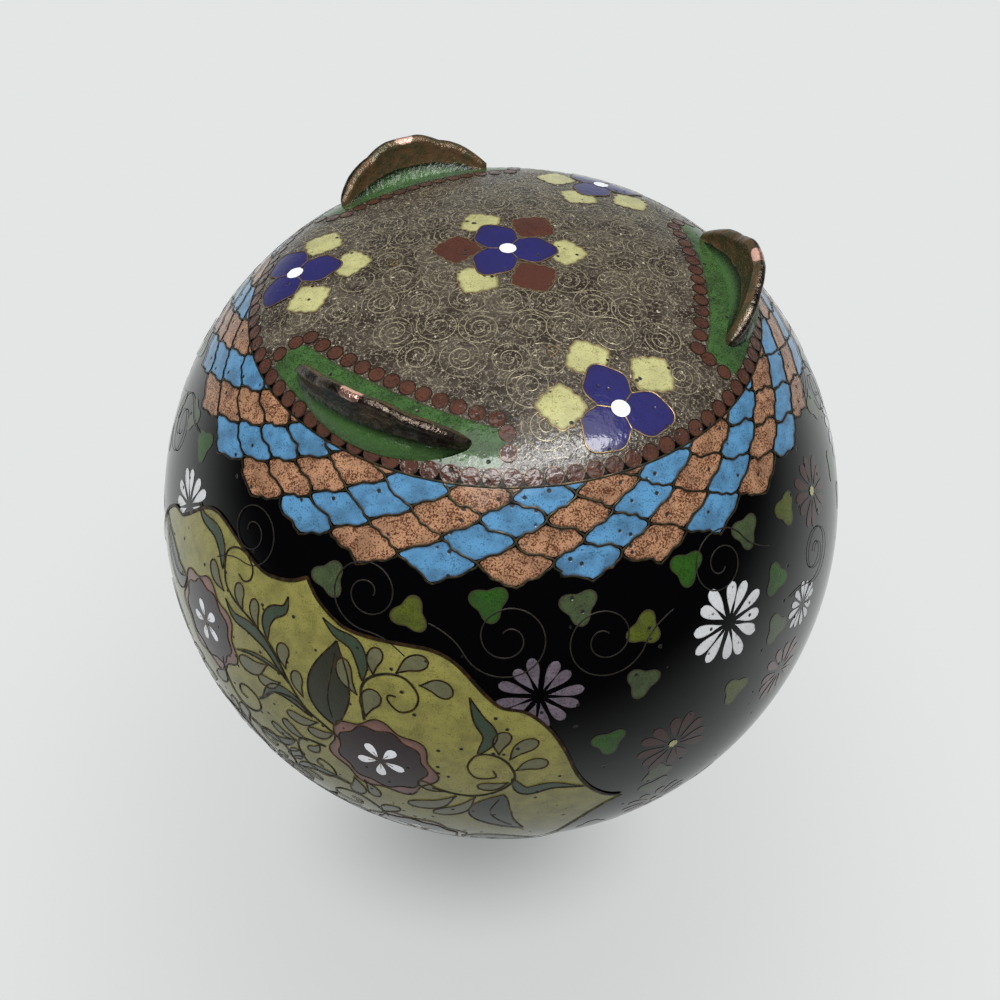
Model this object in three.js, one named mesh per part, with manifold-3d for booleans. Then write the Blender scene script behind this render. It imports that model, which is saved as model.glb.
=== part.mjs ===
// Globular tripod jar with a lift-off lid, enamelled on copper.
// Millimetres, +Z up. The origin is on the floor, under the middle of the jar.

import * as THREE from 'three';
import { mergeVertices } from 'three/addons/utils/BufferGeometryUtils.js';
import Module from 'manifold-3d';

// Body: a globe with a shallow domed underside
const BODY_RADIUS = 65;
const BODY_WALL = 2;
const UNDERSIDE_CLEARANCE = 1;
const UNDERSIDE_FLATTENING = 6;
const UNDERSIDE_CURVE_RADIUS = 127;
const SHOULDER_RADIUS = 19;

// Mouth
const MOUTH_RADIUS = 33;
const LIP_OUTER_RADIUS = 38.4;
const LIP_DEPTH = 2.6;

// Lid: it carries the line of the globe on, and drops into the mouth with a ring
const LID_WALL = 1.8;
const LID_GAP = 0.3;
const LID_RING_CLEARANCE = 0.5;
const LID_RING_WALL = 1.5;
const LID_RING_DROP = 4.5;

// Knob on the lid
const KNOB_FLANGE_RADIUS = 5.6;
const KNOB_FLANGE_HEIGHT = 1.4;
const KNOB_NECK_RADIUS = 3.1;
const KNOB_NECK_HEIGHT = 3.4;
const KNOB_BUD_RADIUS = 6.3;
const KNOB_BUD_HEIGHT = 9.2;
const KNOB_TIP_RADIUS = 1.1;

// Feet: three curved bracket flanges. The lower edge has a flat pad in the middle, and rises in
// scallops to ends that are almost flush with the underside.
const FOOT_COUNT = 3;
const FOOT_FIRST_AZIMUTH = -60;
const FOOT_HALF_ANGLE = 23.5;
const FOOT_ROOT_RADIUS = 37.2;
const FOOT_END_DRAW = 1.2;
const FOOT_LEAN = 1.4;
const FOOT_EDGE_THICKNESS = 1.5;
const FOOT_ROOT_THICKNESS = 2.4;
const FOOT_FILLET = 1.3;
const FOOT_FILLET_REACH = 1.4;
const FOOT_EDGE_BEVEL = 0.3;
const FOOT_PAD_SHARE = 0.17;
const FOOT_END_HEIGHT = 0.7;
const FOOT_END_ROUNDING = 0.9;
const FOOT_SCALLOP = 0.5;
const FOOT_SCALLOP_WAVES = 1.5;
const TOUCH_GAP = 0.3;

// Facets
const BODY_SIDES = 60;
const LID_SIDES = 48;
const KNOB_SIDES = 28;
const FOOT_STEPS = 22;

// The underside's middle lies this far below the middle of the globe
const UNDERSIDE_DEPTH = BODY_RADIUS - UNDERSIDE_FLATTENING;
const CENTRE_HEIGHT = UNDERSIDE_CLEARANCE + UNDERSIDE_DEPTH;
const rad = THREE.MathUtils.degToRad;
const deg = THREE.MathUtils.radToDeg;

// The half outline of the globe, from the middle of the underside round to a polar angle (degrees
// from straight down), all of it moved outwards by an offset. Each point is [radius, height].
// The shoulder is an arc that touches the underside's dome and the globe from inside both.
function globeOutline(offset, endAngle, rows) {
  const domeCentre = CENTRE_HEIGHT - UNDERSIDE_DEPTH + UNDERSIDE_CURVE_RADIUS;
  const spread = UNDERSIDE_CURVE_RADIUS - UNDERSIDE_DEPTH;
  const fromDome = UNDERSIDE_CURVE_RADIUS - SHOULDER_RADIUS;
  const fromGlobe = BODY_RADIUS - SHOULDER_RADIUS;
  const below = (fromDome ** 2 - fromGlobe ** 2 - spread ** 2) / (2 * spread);
  const shoulderX = Math.sqrt(fromGlobe ** 2 - below ** 2);
  const shoulderZ = CENTRE_HEIGHT - below;
  const domeEnd = Math.atan2(shoulderX, domeCentre - shoulderZ);
  const globeStart = Math.atan2(shoulderX, below);

  const outline = [];
  const addArc = (x, z, radius, from, to, steps) => {
    for (let i = 0; i < steps; i++) {
      const a = from + (to - from) * i / steps;
      const reach = radius + offset;
      outline.push([x + reach * Math.sin(a), z - reach * Math.cos(a)]);
    }
  };
  addArc(0, domeCentre, UNDERSIDE_CURVE_RADIUS, 0, domeEnd, rows.dome);
  addArc(shoulderX, shoulderZ, SHOULDER_RADIUS, domeEnd, globeStart, rows.shoulder);
  addArc(0, CENTRE_HEIGHT, BODY_RADIUS, globeStart, rad(endAngle), rows.side);
  const last = BODY_RADIUS + offset;
  outline.push([last * Math.sin(rad(endAngle)), CENTRE_HEIGHT - last * Math.cos(rad(endAngle))]);
  return outline;
}

// Points of an arc about the middle of the globe, between two radii from the axis, above the middle
function crownArc(sphereRadius, fromRadius, toRadius, steps) {
  const from = Math.asin(fromRadius / sphereRadius);
  const to = Math.asin(toRadius / sphereRadius);
  const points = [];
  for (let i = 0; i <= steps; i++) {
    const a = from + (to - from) * i / steps;
    points.push([sphereRadius * Math.sin(a), CENTRE_HEIGHT + sphereRadius * Math.cos(a)]);
  }
  return points;
}

// Turned solid with +Z as its axis. The outline runs so that the solid lies on its left.
function turned(outline, sides) {
  const points = outline.map(([radius, height]) => new THREE.Vector2(Math.max(radius, 0), height));
  const geometry = new THREE.LatheGeometry(points, sides);
  geometry.rotateX(Math.PI / 2);
  return closed(geometry);
}

// Keeps only the position, merges the shared points and drops triangles with no area
function closed(geometry) {
  geometry.deleteAttribute('normal');
  geometry.deleteAttribute('uv');
  const merged = mergeVertices(geometry, 1e-4);
  const index = merged.getIndex().array;
  const kept = [];
  for (let i = 0; i < index.length; i += 3) {
    const [a, b, c] = [index[i], index[i + 1], index[i + 2]];
    if (a !== b && b !== c && c !== a) kept.push(a, b, c);
  }
  merged.setIndex(kept);
  return merged;
}

// One bracket foot, centred on +X. Its section is carried along an arc about the jar's axis.
// Each section runs down the outer face, across the lower edge and up the inner face.
function footBlank() {
  const rootHeight = UNDERSIDE_CLEARANCE + FOOT_ROOT_RADIUS ** 2 / (2 * UNDERSIDE_CURVE_RADIUS);
  const topHeight = rootHeight + 2 * FOOT_ROOT_THICKNESS;
  const rise = rootHeight - FOOT_END_HEIGHT - FOOT_SCALLOP;
  const sections = [];
  for (let i = 0; i <= FOOT_STEPS; i++) {
    const share = 2 * i / FOOT_STEPS - 1;
    const azimuth = rad(FOOT_HALF_ANGLE) * share;
    const pastPad = Math.max(0, Math.abs(share) - FOOT_PAD_SHARE) / (1 - FOOT_PAD_SHARE);
    const wave = 1 - Math.abs(Math.cos(FOOT_SCALLOP_WAVES * Math.PI * pastPad));
    const edgeHeight = rise * pastPad ** 1.5 + FOOT_SCALLOP * wave;
    const rounding = Math.sqrt(1 - FOOT_END_ROUNDING * share ** 8);
    const filletWidth = FOOT_FILLET * (1 - share ** 2);
    const filletReach = Math.min(FOOT_FILLET_REACH, 0.8 * (rootHeight - edgeHeight - FOOT_EDGE_BEVEL));
    const outer = [];
    const inner = [];
    const addLevel = (height, inset) => {
      const up = Math.min(height / rootHeight, 1);
      const middle = FOOT_ROOT_RADIUS - FOOT_END_DRAW * share ** 2 + FOOT_LEAN * (1 - up);
      const plate = THREE.MathUtils.lerp(FOOT_EDGE_THICKNESS, FOOT_ROOT_THICKNESS, up);
      const fillet = filletWidth * Math.max(0, 1 - (rootHeight - height) / filletReach) ** 2;
      const half = (plate / 2 + Math.min(fillet, filletWidth) - inset) * rounding;
      outer.push([middle + half, height]);
      inner.push([middle - half, height]);
    };
    addLevel(topHeight, 0);
    addLevel(rootHeight, 0);
    addLevel(rootHeight - 0.5 * filletReach, 0);
    addLevel(rootHeight - filletReach, 0);
    addLevel(edgeHeight + FOOT_EDGE_BEVEL, 0);
    addLevel(edgeHeight, FOOT_EDGE_BEVEL);
    sections.push([...outer, ...inner.reverse()].map(([radius, height]) => [
      radius * Math.cos(azimuth), radius * Math.sin(azimuth), height,
    ]));
  }
  return loft(sections);
}

// Closed skin over a row of sections with equal numbers of points
function loft(sections) {
  const count = sections[0].length;
  const position = sections.flat(2);
  const index = [];
  for (let i = 0; i < sections.length - 1; i++) {
    for (let j = 0; j < count; j++) {
      const a = i * count + j;
      const b = i * count + (j + 1) % count;
      index.push(a, b, b + count, a, b + count, a + count);
    }
  }
  // the ends: strips between the outer and the inner face
  const last = (sections.length - 1) * count;
  for (let j = 0; j < count / 2 - 1; j++) {
    const k = count - 1 - j;
    index.push(j, k, k - 1, j, k - 1, j + 1);
    index.push(last + j, last + k - 1, last + k, last + j, last + j + 1, last + k - 1);
  }
  const geometry = new THREE.BufferGeometry();
  geometry.setAttribute('position', new THREE.Float32BufferAttribute(position, 3));
  geometry.setIndex(index);
  return geometry;
}

// Boolean cut of one closed geometry by another
const wasm = await Module();
wasm.setup();

function toSolid(geometry) {
  return new wasm.Manifold(new wasm.Mesh({
    numProp: 3,
    vertProperties: Float32Array.from(geometry.getAttribute('position').array),
    triVerts: Uint32Array.from(geometry.getIndex().array),
  }));
}

function cutBy(geometry, cutter) {
  const mesh = toSolid(geometry).subtract(toSolid(cutter)).getMesh();
  const result = new THREE.BufferGeometry();
  result.setAttribute('position', new THREE.Float32BufferAttribute(mesh.vertProperties, 3));
  result.setIndex(Array.from(mesh.triVerts));
  return result;
}

// Body: outer outline up to the lip, across it, down the mouth and back round the inner wall
function bodyGeometry() {
  const lipAngle = 180 - deg(Math.asin(LIP_OUTER_RADIUS / BODY_RADIUS));
  const lipHeight = CENTRE_HEIGHT + Math.sqrt(BODY_RADIUS ** 2 - LIP_OUTER_RADIUS ** 2);
  const lipUnder = lipHeight - LIP_DEPTH;
  const innerRadius = BODY_RADIUS - BODY_WALL;
  const innerAngle = 180 - deg(Math.acos((lipUnder - CENTRE_HEIGHT) / innerRadius));
  const outer = globeOutline(0, lipAngle, { dome: 4, shoulder: 4, side: 16 });
  const inner = globeOutline(-BODY_WALL, innerAngle, { dome: 3, shoulder: 3, side: 12 });
  const mouth = [[MOUTH_RADIUS, lipHeight], [MOUTH_RADIUS, lipUnder]];
  return turned([...outer, ...mouth, ...inner.reverse()], BODY_SIDES);
}

// Lid: crown outside, seat on the lip, ring inside the mouth, hollow underneath
function lidGeometry() {
  const seat = Math.sqrt(BODY_RADIUS ** 2 - LIP_OUTER_RADIUS ** 2) + LID_GAP;
  const edgeRadius = Math.sqrt(BODY_RADIUS ** 2 - seat ** 2);
  const ringOuter = MOUTH_RADIUS - LID_RING_CLEARANCE;
  const ringInner = ringOuter - LID_RING_WALL;
  const ringFoot = CENTRE_HEIGHT + seat - LID_RING_DROP;
  const under = crownArc(BODY_RADIUS - LID_WALL, 0, ringInner, 7);
  const crown = crownArc(BODY_RADIUS, edgeRadius, 0, 9);
  return turned([
    ...under,
    [ringInner, ringFoot],
    [ringOuter, ringFoot],
    [ringOuter, CENTRE_HEIGHT + seat],
    ...crown,
  ], LID_SIDES);
}

// Knob: a flange that follows the crown, a waisted neck and a pointed bud
function knobGeometry() {
  const base = crownArc(BODY_RADIUS + TOUCH_GAP, 0, KNOB_FLANGE_RADIUS, 2);
  const crown = CENTRE_HEIGHT + BODY_RADIUS;
  const flangeTop = crown + KNOB_FLANGE_HEIGHT;
  const budStart = crown + KNOB_NECK_HEIGHT;
  const outline = [
    ...base,
    [KNOB_FLANGE_RADIUS, flangeTop - 0.4 * KNOB_FLANGE_HEIGHT],
    [KNOB_FLANGE_RADIUS - 0.4 * KNOB_FLANGE_HEIGHT, flangeTop],
    [KNOB_NECK_RADIUS, (flangeTop + budStart) / 2],
  ];
  // bud: a round swelling that draws in to a small tip
  const budSteps = 8;
  for (let i = 0; i <= budSteps; i++) {
    const share = i / budSteps;
    const swelling = Math.sin(Math.PI * share) ** 0.8;
    const ends = THREE.MathUtils.lerp(KNOB_NECK_RADIUS, KNOB_TIP_RADIUS, share);
    outline.push([ends + (KNOB_BUD_RADIUS - ends) * swelling, budStart + KNOB_BUD_HEIGHT * share]);
  }
  outline.push([0, budStart + KNOB_BUD_HEIGHT + 0.5 * KNOB_TIP_RADIUS]);
  return turned(outline, KNOB_SIDES);
}

// Feet: the blank, cut to sit on the underside
function footGeometry() {
  const clearAngle = 120;
  const outline = globeOutline(TOUCH_GAP, clearAngle, { dome: 4, shoulder: 4, side: 8 });
  const cutter = turned([...outline, [0, outline.at(-1)[1]]], BODY_SIDES);
  return cutBy(footBlank(), cutter);
}

const black = new THREE.MeshStandardMaterial({ color: 0x0a0a0e, roughness: 0.18, metalness: 0 });
const lidBlack = new THREE.MeshStandardMaterial({ color: 0x101014, roughness: 0.18, metalness: 0 });
const copper = new THREE.MeshStandardMaterial({ color: 0x6b4a38, roughness: 0.45, metalness: 0.9 });
const darkCopper = new THREE.MeshStandardMaterial({ color: 0x4a3a2e, roughness: 0.5, metalness: 0.8 });

const vessel = new THREE.Group();

const body = new THREE.Mesh(bodyGeometry(), black);
body.name = 'vessel_body';
vessel.add(body);

const lid = new THREE.Mesh(lidGeometry(), lidBlack);
lid.name = 'lid';
vessel.add(lid);

const knob = new THREE.Mesh(knobGeometry(), copper);
knob.name = 'lid_knob';
vessel.add(knob);

for (let i = 0; i < FOOT_COUNT; i++) {
  const foot = new THREE.Mesh(footGeometry(), darkCopper);
  foot.name = `foot_${i + 1}`;
  foot.rotation.z = rad(FOOT_FIRST_AZIMUTH + i * 360 / FOOT_COUNT);
  vessel.add(foot);
}

export default vessel;
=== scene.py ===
# %% [markdown]
# # A cloisonné jar on three bracket feet
#
# The jar is a copper globe with a lift-off lid. Fine metal wires are bent to a drawing and stuck on
# edge to the copper, the cells between them are filled with enamel, and the whole is fired and
# polished until wires and enamel are flush. Three sheet-metal feet are soldered to the underside.
# The picture looks up at the underside, where most of the pattern meets.
#
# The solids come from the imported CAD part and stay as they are. This script dresses them: each cell
# becomes a thin sheet laid on the globe, and each wire a narrow ribbon a little above it.

# %% Frame and sizes
import math

import bpy
import numpy as np
from mathutils import Matrix, Vector


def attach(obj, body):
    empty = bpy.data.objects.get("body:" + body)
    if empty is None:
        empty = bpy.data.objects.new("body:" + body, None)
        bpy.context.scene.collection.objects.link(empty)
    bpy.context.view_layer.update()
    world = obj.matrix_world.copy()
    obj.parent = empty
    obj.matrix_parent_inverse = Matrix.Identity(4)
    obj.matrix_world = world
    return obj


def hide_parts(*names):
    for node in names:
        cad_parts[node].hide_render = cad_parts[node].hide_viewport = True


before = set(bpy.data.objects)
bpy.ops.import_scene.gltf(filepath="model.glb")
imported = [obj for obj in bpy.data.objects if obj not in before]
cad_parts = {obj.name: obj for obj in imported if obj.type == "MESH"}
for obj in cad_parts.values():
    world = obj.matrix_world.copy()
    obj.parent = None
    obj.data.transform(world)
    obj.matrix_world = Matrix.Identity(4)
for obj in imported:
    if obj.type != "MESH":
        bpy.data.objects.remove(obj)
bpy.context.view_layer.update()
MM = 0.001

# the solids' own sizes, in millimetres and degrees
BODY_RADIUS = 65.0
BODY_WALL = 2.0
UNDERSIDE_CLEARANCE = 1.0
UNDERSIDE_FLATTENING = 6.0
UNDERSIDE_CURVE_RADIUS = 127.0
SHOULDER_RADIUS = 19.0
MOUTH_RADIUS = 33.0
LIP_OUTER_RADIUS = 38.4
LIP_DEPTH = 2.6
UNDERSIDE_DEPTH = BODY_RADIUS - UNDERSIDE_FLATTENING
CENTRE_HEIGHT = UNDERSIDE_CLEARANCE + UNDERSIDE_DEPTH

# the enamel surface lies this far inside the solid's face, so that the raised cells stay within it
SKIN_INSET = 0.30
GROUND_LIFT = 0.05
PANEL_LIFT = 0.09
CELL_LIFT = 0.13
TOP_LIFT = 0.17
WIRE_LIFT = 0.20

# %% [markdown]
# ## The globe as a surface
#
# The outline is three arcs that touch: a shallow dome underneath, a tight shoulder, and the globe.
# Every motif is placed by two angles, its azimuth round the jar and its polar angle up from the
# middle of the underside, both seen from the middle of the globe. A ray at that polar angle meets
# one of the three arcs, and the arc's own centre gives the direction in which a sheet is lifted.
# A single sphere would be simpler, but it would lose the flat underside and its bright shoulder.

# %% Surface function
DOME_CENTRE = np.array([0.0, UNDERSIDE_CURVE_RADIUS - UNDERSIDE_DEPTH])
SHOULDER_DROP = (
    (UNDERSIDE_CURVE_RADIUS - SHOULDER_RADIUS) ** 2
    - (BODY_RADIUS - SHOULDER_RADIUS) ** 2
    - DOME_CENTRE[1] ** 2
) / (2 * DOME_CENTRE[1])
SHOULDER_CENTRE = np.array([
    math.sqrt((BODY_RADIUS - SHOULDER_RADIUS) ** 2 - SHOULDER_DROP**2),
    -SHOULDER_DROP,
])
GLOBE_CENTRE = np.zeros(2)


def joint_angle():
    """Polar angle where the dome's arc ends, on the line through both arcs' centres."""
    step = SHOULDER_CENTRE - DOME_CENTRE
    end = DOME_CENTRE + step / np.linalg.norm(step) * UNDERSIDE_CURVE_RADIUS
    return math.degrees(math.atan2(end[0], -end[1]))


DOME_END = joint_angle()
GLOBE_START = math.degrees(math.atan2(SHOULDER_CENTRE[0], -SHOULDER_CENTRE[1]))


def arc_point(direction, centre, radius, offset):
    """Where a ray from the globe's middle meets an arc: t = d·c + sqrt((d·c)² − c·c + r²)."""
    along = direction @ centre
    reach = along + np.sqrt(np.maximum(along**2 - centre @ centre + radius**2, 0.0))
    on_arc = reach[..., None] * direction
    return on_arc + offset[..., None] * (on_arc - centre) / radius


def skin(azimuth, polar, lift=0.0):
    """Points of the enamel surface, in metres, raised by lift millimetres along its normal."""
    azimuth, polar, lift = np.broadcast_arrays(azimuth, polar, lift)
    around, up = np.radians(azimuth), np.radians(polar)
    direction = np.stack([np.sin(up), -np.cos(up)], -1)
    offset = lift - SKIN_INSET
    dome = arc_point(direction, DOME_CENTRE, UNDERSIDE_CURVE_RADIUS, offset)
    shoulder = arc_point(direction, SHOULDER_CENTRE, SHOULDER_RADIUS, offset)
    globe = arc_point(direction, GLOBE_CENTRE, BODY_RADIUS, offset)
    polar = polar[..., None]
    outline = np.where(polar < DOME_END, dome, np.where(polar < GLOBE_START, shoulder, globe))
    x = outline[..., 0] * np.cos(around)
    y = outline[..., 0] * np.sin(around)
    return np.stack([x, y, outline[..., 1] + CENTRE_HEIGHT], -1) * MM


def skin_normal(azimuth, polar):
    """Unit normal of the surface: the way a point moves when it is lifted."""
    step = skin(azimuth, polar, 1.0) - skin(azimuth, polar, 0.0)
    return step / np.linalg.norm(step, axis=-1, keepdims=True)


print("dome to", round(DOME_END, 2), "deg, globe from", round(GLOBE_START, 2), "deg")

# %% [markdown]
# ## Charts
#
# An enameller draws each motif flat and bends the wires to the globe. A chart does the same: it is a
# function from flat coordinates to azimuth and polar angle. A small motif is drawn in millimetres
# on a plane that touches the globe, and a large one directly in degrees.

# %% Charts
CHART_ANGLES = np.linspace(0, 60, 601)
RADIUS_BY_ANGLE = np.linalg.norm(skin(0.0, CHART_ANGLES)[:, :2], axis=1) / MM


def tangent_chart(azimuth, polar):
    """Millimetres on a plane that touches the globe: u runs with rising azimuth and v with rising
    polar angle. A point goes to the direction D = P + u·E + v·F."""
    a, b = math.radians(azimuth), math.radians(polar)
    foot = skin(azimuth, polar) / MM - np.array([0, 0, CENTRE_HEIGHT])
    east = np.array([-math.sin(a), math.cos(a), 0])
    rise = np.array([math.cos(b) * math.cos(a), math.cos(b) * math.sin(a), math.sin(b)])

    def chart(u, v):
        way = foot + u[..., None] * east + v[..., None] * rise
        around = np.arctan2(way[..., 1], way[..., 0])
        up = np.arccos(-way[..., 2] / np.linalg.norm(way, axis=-1))
        return np.degrees(around), np.degrees(up)

    return chart


def underside_chart(x, y):
    """Millimetres in the jar's own X and Y, straight up on the underside."""
    radius = np.hypot(x, y)
    return np.degrees(np.arctan2(y, x)), np.interp(radius, RADIUS_BY_ANGLE, CHART_ANGLES)


def angle_chart(azimuth=0.0, hand=1.0, flip_about=None):
    """Degrees: a is counted from azimuth, against it for hand = −1, and p is the polar angle, or its
    mirror image about flip_about."""

    def chart(a, p):
        return azimuth + hand * a, p if flip_about is None else 2 * flip_about - p

    return chart


# %% [markdown]
# ## Sheets and ribbons
#
# A fan spreads a cell from a middle point to its outline. A blade carries a width along a curve, for
# leaves, petals and stems. A wire is a ribbon of one width, three points across, with its middle a
# little higher so that it catches the light. All three are numpy grids, joined into one mesh for
# each enamel colour, because a thousand separate cells would be slow and hard to reuse.


# %% Grid helpers
def grid_faces(rows, columns, wrap=False):
    """Two triangles for each square of a grid of points, row by row. wrap joins the last column to
    the first."""
    i = np.arange(rows - 1)[:, None]
    j = np.arange(columns if wrap else columns - 1)[None, :]
    a, b = i * columns + j, i * columns + (j + 1) % columns
    c, d = a + columns, b + columns
    return np.concatenate([np.stack([a, b, d], -1), np.stack([a, d, c], -1)], axis=1).reshape(-1, 3)


def face_outwards(points, faces, normals):
    """Turns the triangles round if they look away from the surface's normals."""
    corner = points[faces]
    face_normal = np.cross(corner[:, 1] - corner[:, 0], corner[:, 2] - corner[:, 0])
    agreement = np.einsum("ij,ij->i", face_normal, normals[faces[:, 0]]).sum()
    return faces if agreement > 0 else faces[:, ::-1]


def has_area(points, faces, least=1e-12):
    """Which triangles have twice their area, in square metres, above the least."""
    corner = points[faces]
    doubled = np.linalg.norm(np.cross(corner[:, 1] - corner[:, 0], corner[:, 2] - corner[:, 0]), axis=1)
    return doubled > least


def drop_slivers(points, faces):
    """Leaves out the triangles that have no area."""
    return faces[has_area(points, faces)]


class Layer:
    """The cells of one colour. Each added piece brings its points, its triangles and a number at
    each point that is 0 in the middle of the cell and 1 at its rim."""

    def __init__(self, lift, crown=0.05):
        self.lift, self.crown = lift, crown
        self.points, self.faces, self.rims, self.count = [], [], [], 0

    def add(self, chart, flat, faces, rim):
        azimuth, polar = chart(flat[:, 0], flat[:, 1])
        points = skin(azimuth, polar, self.lift)
        faces = drop_slivers(points, face_outwards(points, faces, skin_normal(azimuth, polar)))
        self.put(points, faces, rim)

    def put(self, points, faces, rim):
        self.points.append(points)
        self.faces.append(faces + self.count)
        self.rims.append(np.broadcast_to(rim, len(points)))
        self.count += len(points)

    def fan(self, chart, outline, middle=(0.0, 0.0), rings=4):
        """p(f, i) = m + f (q_i − m), with f from 0 at the middle m to 1 on the outline q."""
        f = np.linspace(0, 1, rings + 1)[1:]
        middle = np.asarray(middle, float)
        spread = middle + f[:, None, None] * (outline[None] - middle)
        flat = np.concatenate([middle[None], spread.reshape(-1, 2)])
        n = len(outline)
        j = np.arange(n)
        hub = np.stack([np.zeros(n, int), 1 + (j + 1) % n, 1 + j], -1)
        faces = np.concatenate([hub, 1 + grid_faces(rings, n, wrap=True)])
        self.add(chart, flat, faces, np.concatenate([[0.0], np.repeat(f, n)]))

    def blade(self, chart, spine, half_widths, across=4):
        """p(s, t) = c(s) + t w(s) n(s), with c the curve, n its normal and t from −1 to 1."""
        t = np.linspace(-1, 1, across + 1)
        offset = (t[None, :] * half_widths[:, None])[..., None]
        flat = spine[:, None] + offset * curve_normal(spine)[:, None]
        faces = grid_faces(len(spine), across + 1)
        self.add(chart, flat.reshape(-1, 2), faces, np.tile(np.abs(t), len(spine)))

    def wire(self, chart, path, width=0.26, closed=False):
        """Ribbon with its edges at p ± (w/2) s, with s = tangent × normal on the globe itself."""
        azimuth, polar = chart(path[:, 0], path[:, 1])
        normal = skin_normal(azimuth, polar)
        low = skin(azimuth, polar, self.lift)
        if closed:
            tangent = np.roll(low, -1, axis=0) - np.roll(low, 1, axis=0)
        else:
            tangent = np.gradient(low, axis=0)
        side = np.cross(tangent, normal)
        side /= np.maximum(np.linalg.norm(side, axis=1, keepdims=True), 1e-12)
        half = side * width / 2 * MM
        points = np.stack([low - half, low + normal * self.crown * MM, low + half], axis=1)
        if closed:
            points = np.concatenate([points, points[:1]])
            normal = np.concatenate([normal, normal[:1]])
        flat = points.reshape(-1, 3)
        faces = face_outwards(flat, grid_faces(len(points), 3), np.repeat(normal, 3, axis=0))
        self.put(flat, drop_slivers(flat, faces), 0.0)


def curve_normal(path):
    """Unit normal of a flat curve: its tangent turned a quarter turn."""
    tangent = np.gradient(path, axis=0)
    normal = np.stack([-tangent[:, 1], tangent[:, 0]], -1)
    return normal / np.maximum(np.linalg.norm(normal, axis=1, keepdims=True), 1e-9)


def curve(points, count):
    """Smooth curve through the points: cubic pieces whose tangent at a point is half the step
    between its neighbours."""
    p = np.asarray(points, float)
    slope = np.gradient(p, axis=0)
    t = np.linspace(0, len(p) - 1, count)
    i = np.minimum(t.astype(int), len(p) - 2)
    f = (t - i)[:, None]
    start = (2 * f**3 - 3 * f**2 + 1) * p[i] + (f**3 - 2 * f**2 + f) * slope[i]
    return start + (3 * f**2 - 2 * f**3) * p[i + 1] + (f**3 - f**2) * slope[i + 1]


def lobed(radius, lobes=1, depth=0.0, turn=0.0, count=28):
    """Outline r(θ) = R (1 − d + d cos(n (θ − turn))). A depth of 0 gives a circle."""
    theta = np.linspace(0, 2 * np.pi, count, endpoint=False)
    r = radius * (1 - depth + depth * np.cos(lobes * (theta - math.radians(turn))))
    return np.stack([r * np.cos(theta), r * np.sin(theta)], -1)


def spiral(radius, turns, start=0.0, hand=1.0, inner=0.18, count=60, middle=(0.0, 0.0)):
    """r(s) = R (1 − (1 − inner) s), winding in by a number of turns."""
    s = np.linspace(0, 1, count)
    theta = math.radians(start) + hand * 2 * np.pi * turns * s
    r = radius * (1 - (1 - inner) * s)
    return np.stack([middle[0] + r * np.cos(theta), middle[1] + r * np.sin(theta)], -1)


def drop_widths(half_width, count, widest=0.68):
    """Half width of a drop: it swells from its stalk to the widest place and closes in a round end."""
    s = np.linspace(0, 1, count)
    swell = np.sin(0.5 * np.pi * np.clip(s / widest, 0, 1)) ** 1.3
    end = np.sqrt(np.clip(1 - ((s - widest) / (1 - widest)) ** 2, 0, 1))
    return half_width * np.maximum(np.where(s < widest, swell, end), 0.02)


def leaf_widths(half_width, count):
    """Half width of a pointed leaf, widest before its middle: w(s) = W sin(π s^0.8)."""
    s = np.linspace(0, 1, count)
    return half_width * np.maximum(np.sin(np.pi * s**0.8), 0.02)


def heading_vector(degrees):
    """Unit vector at an angle from the first axis."""
    return np.array([math.cos(math.radians(degrees)), math.sin(math.radians(degrees))])


def blade_outline(spine, half_widths):
    """The closed outline of a blade, up one side and down the other."""
    normal = curve_normal(spine)
    offset = half_widths[:, None] * normal
    return np.concatenate([spine + offset, (spine - offset)[::-1]])


# %% [markdown]
# ## Colours of the cells
#
# One layer for each enamel colour and each kind of wire. Each lies at its own height, so that a
# flower can lie on a panel and a wire on both.

# %% Layers
taupe_ground = Layer(GROUND_LIFT)
sky_tiles = Layer(GROUND_LIFT)
salmon_tiles = Layer(GROUND_LIFT)
white_petals = Layer(GROUND_LIFT)
lilac_petals = Layer(GROUND_LIFT)
pink_petals = Layer(GROUND_LIFT)
brown_petals = Layer(GROUND_LIFT)
leaf_green = Layer(GROUND_LIFT)
leaf_olive = Layer(GROUND_LIFT)
leaf_grey = Layer(GROUND_LIFT)
mustard_panels = Layer(PANEL_LIFT)
apron_green = Layer(PANEL_LIFT)
yellow_petals = Layer(PANEL_LIFT)
rust_petals = Layer(PANEL_LIFT)
maroon_dots = Layer(CELL_LIFT)
cobalt_petals = Layer(CELL_LIFT)
spray_drops = Layer(CELL_LIFT)
spray_blades = Layer(CELL_LIFT)
spray_leaves = Layer(CELL_LIFT)
rose_lobes = Layer(CELL_LIFT)
plum_lobes = Layer(TOP_LIFT)
white_hearts = Layer(WIRE_LIFT)
gold_wires = Layer(WIRE_LIFT)
low_wires = Layer(PANEL_LIFT, crown=0.025)
dot_wires = Layer(TOP_LIFT, crown=0.02)
ground_scrolls = Layer(GROUND_LIFT, crown=0.03)
tile_wires = Layer(TOP_LIFT)
panel_wires = Layer(WIRE_LIFT)
black_scrolls = Layer(TOP_LIFT)

# %% [markdown]
# ## The underside
#
# A taupe ground fills the flat of the underside. It is packed with little spirals of wire, which on
# a real jar keep the wide cell of enamel from cracking as it cools. They are laid in rows that are
# shifted by half a step, with a little disorder, and left out where a flower or an apron lies.

# %% Ground of the underside and its spirals
GROUND_EDGE = 37.9
SPIRAL_RADIUS = 3.5
SPIRAL_STEP = 6.3
SPIRAL_ROW_SHARE = 0.86
SPIRAL_DISORDER = 0.7
SPIRAL_WIDTH = 0.13
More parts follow.
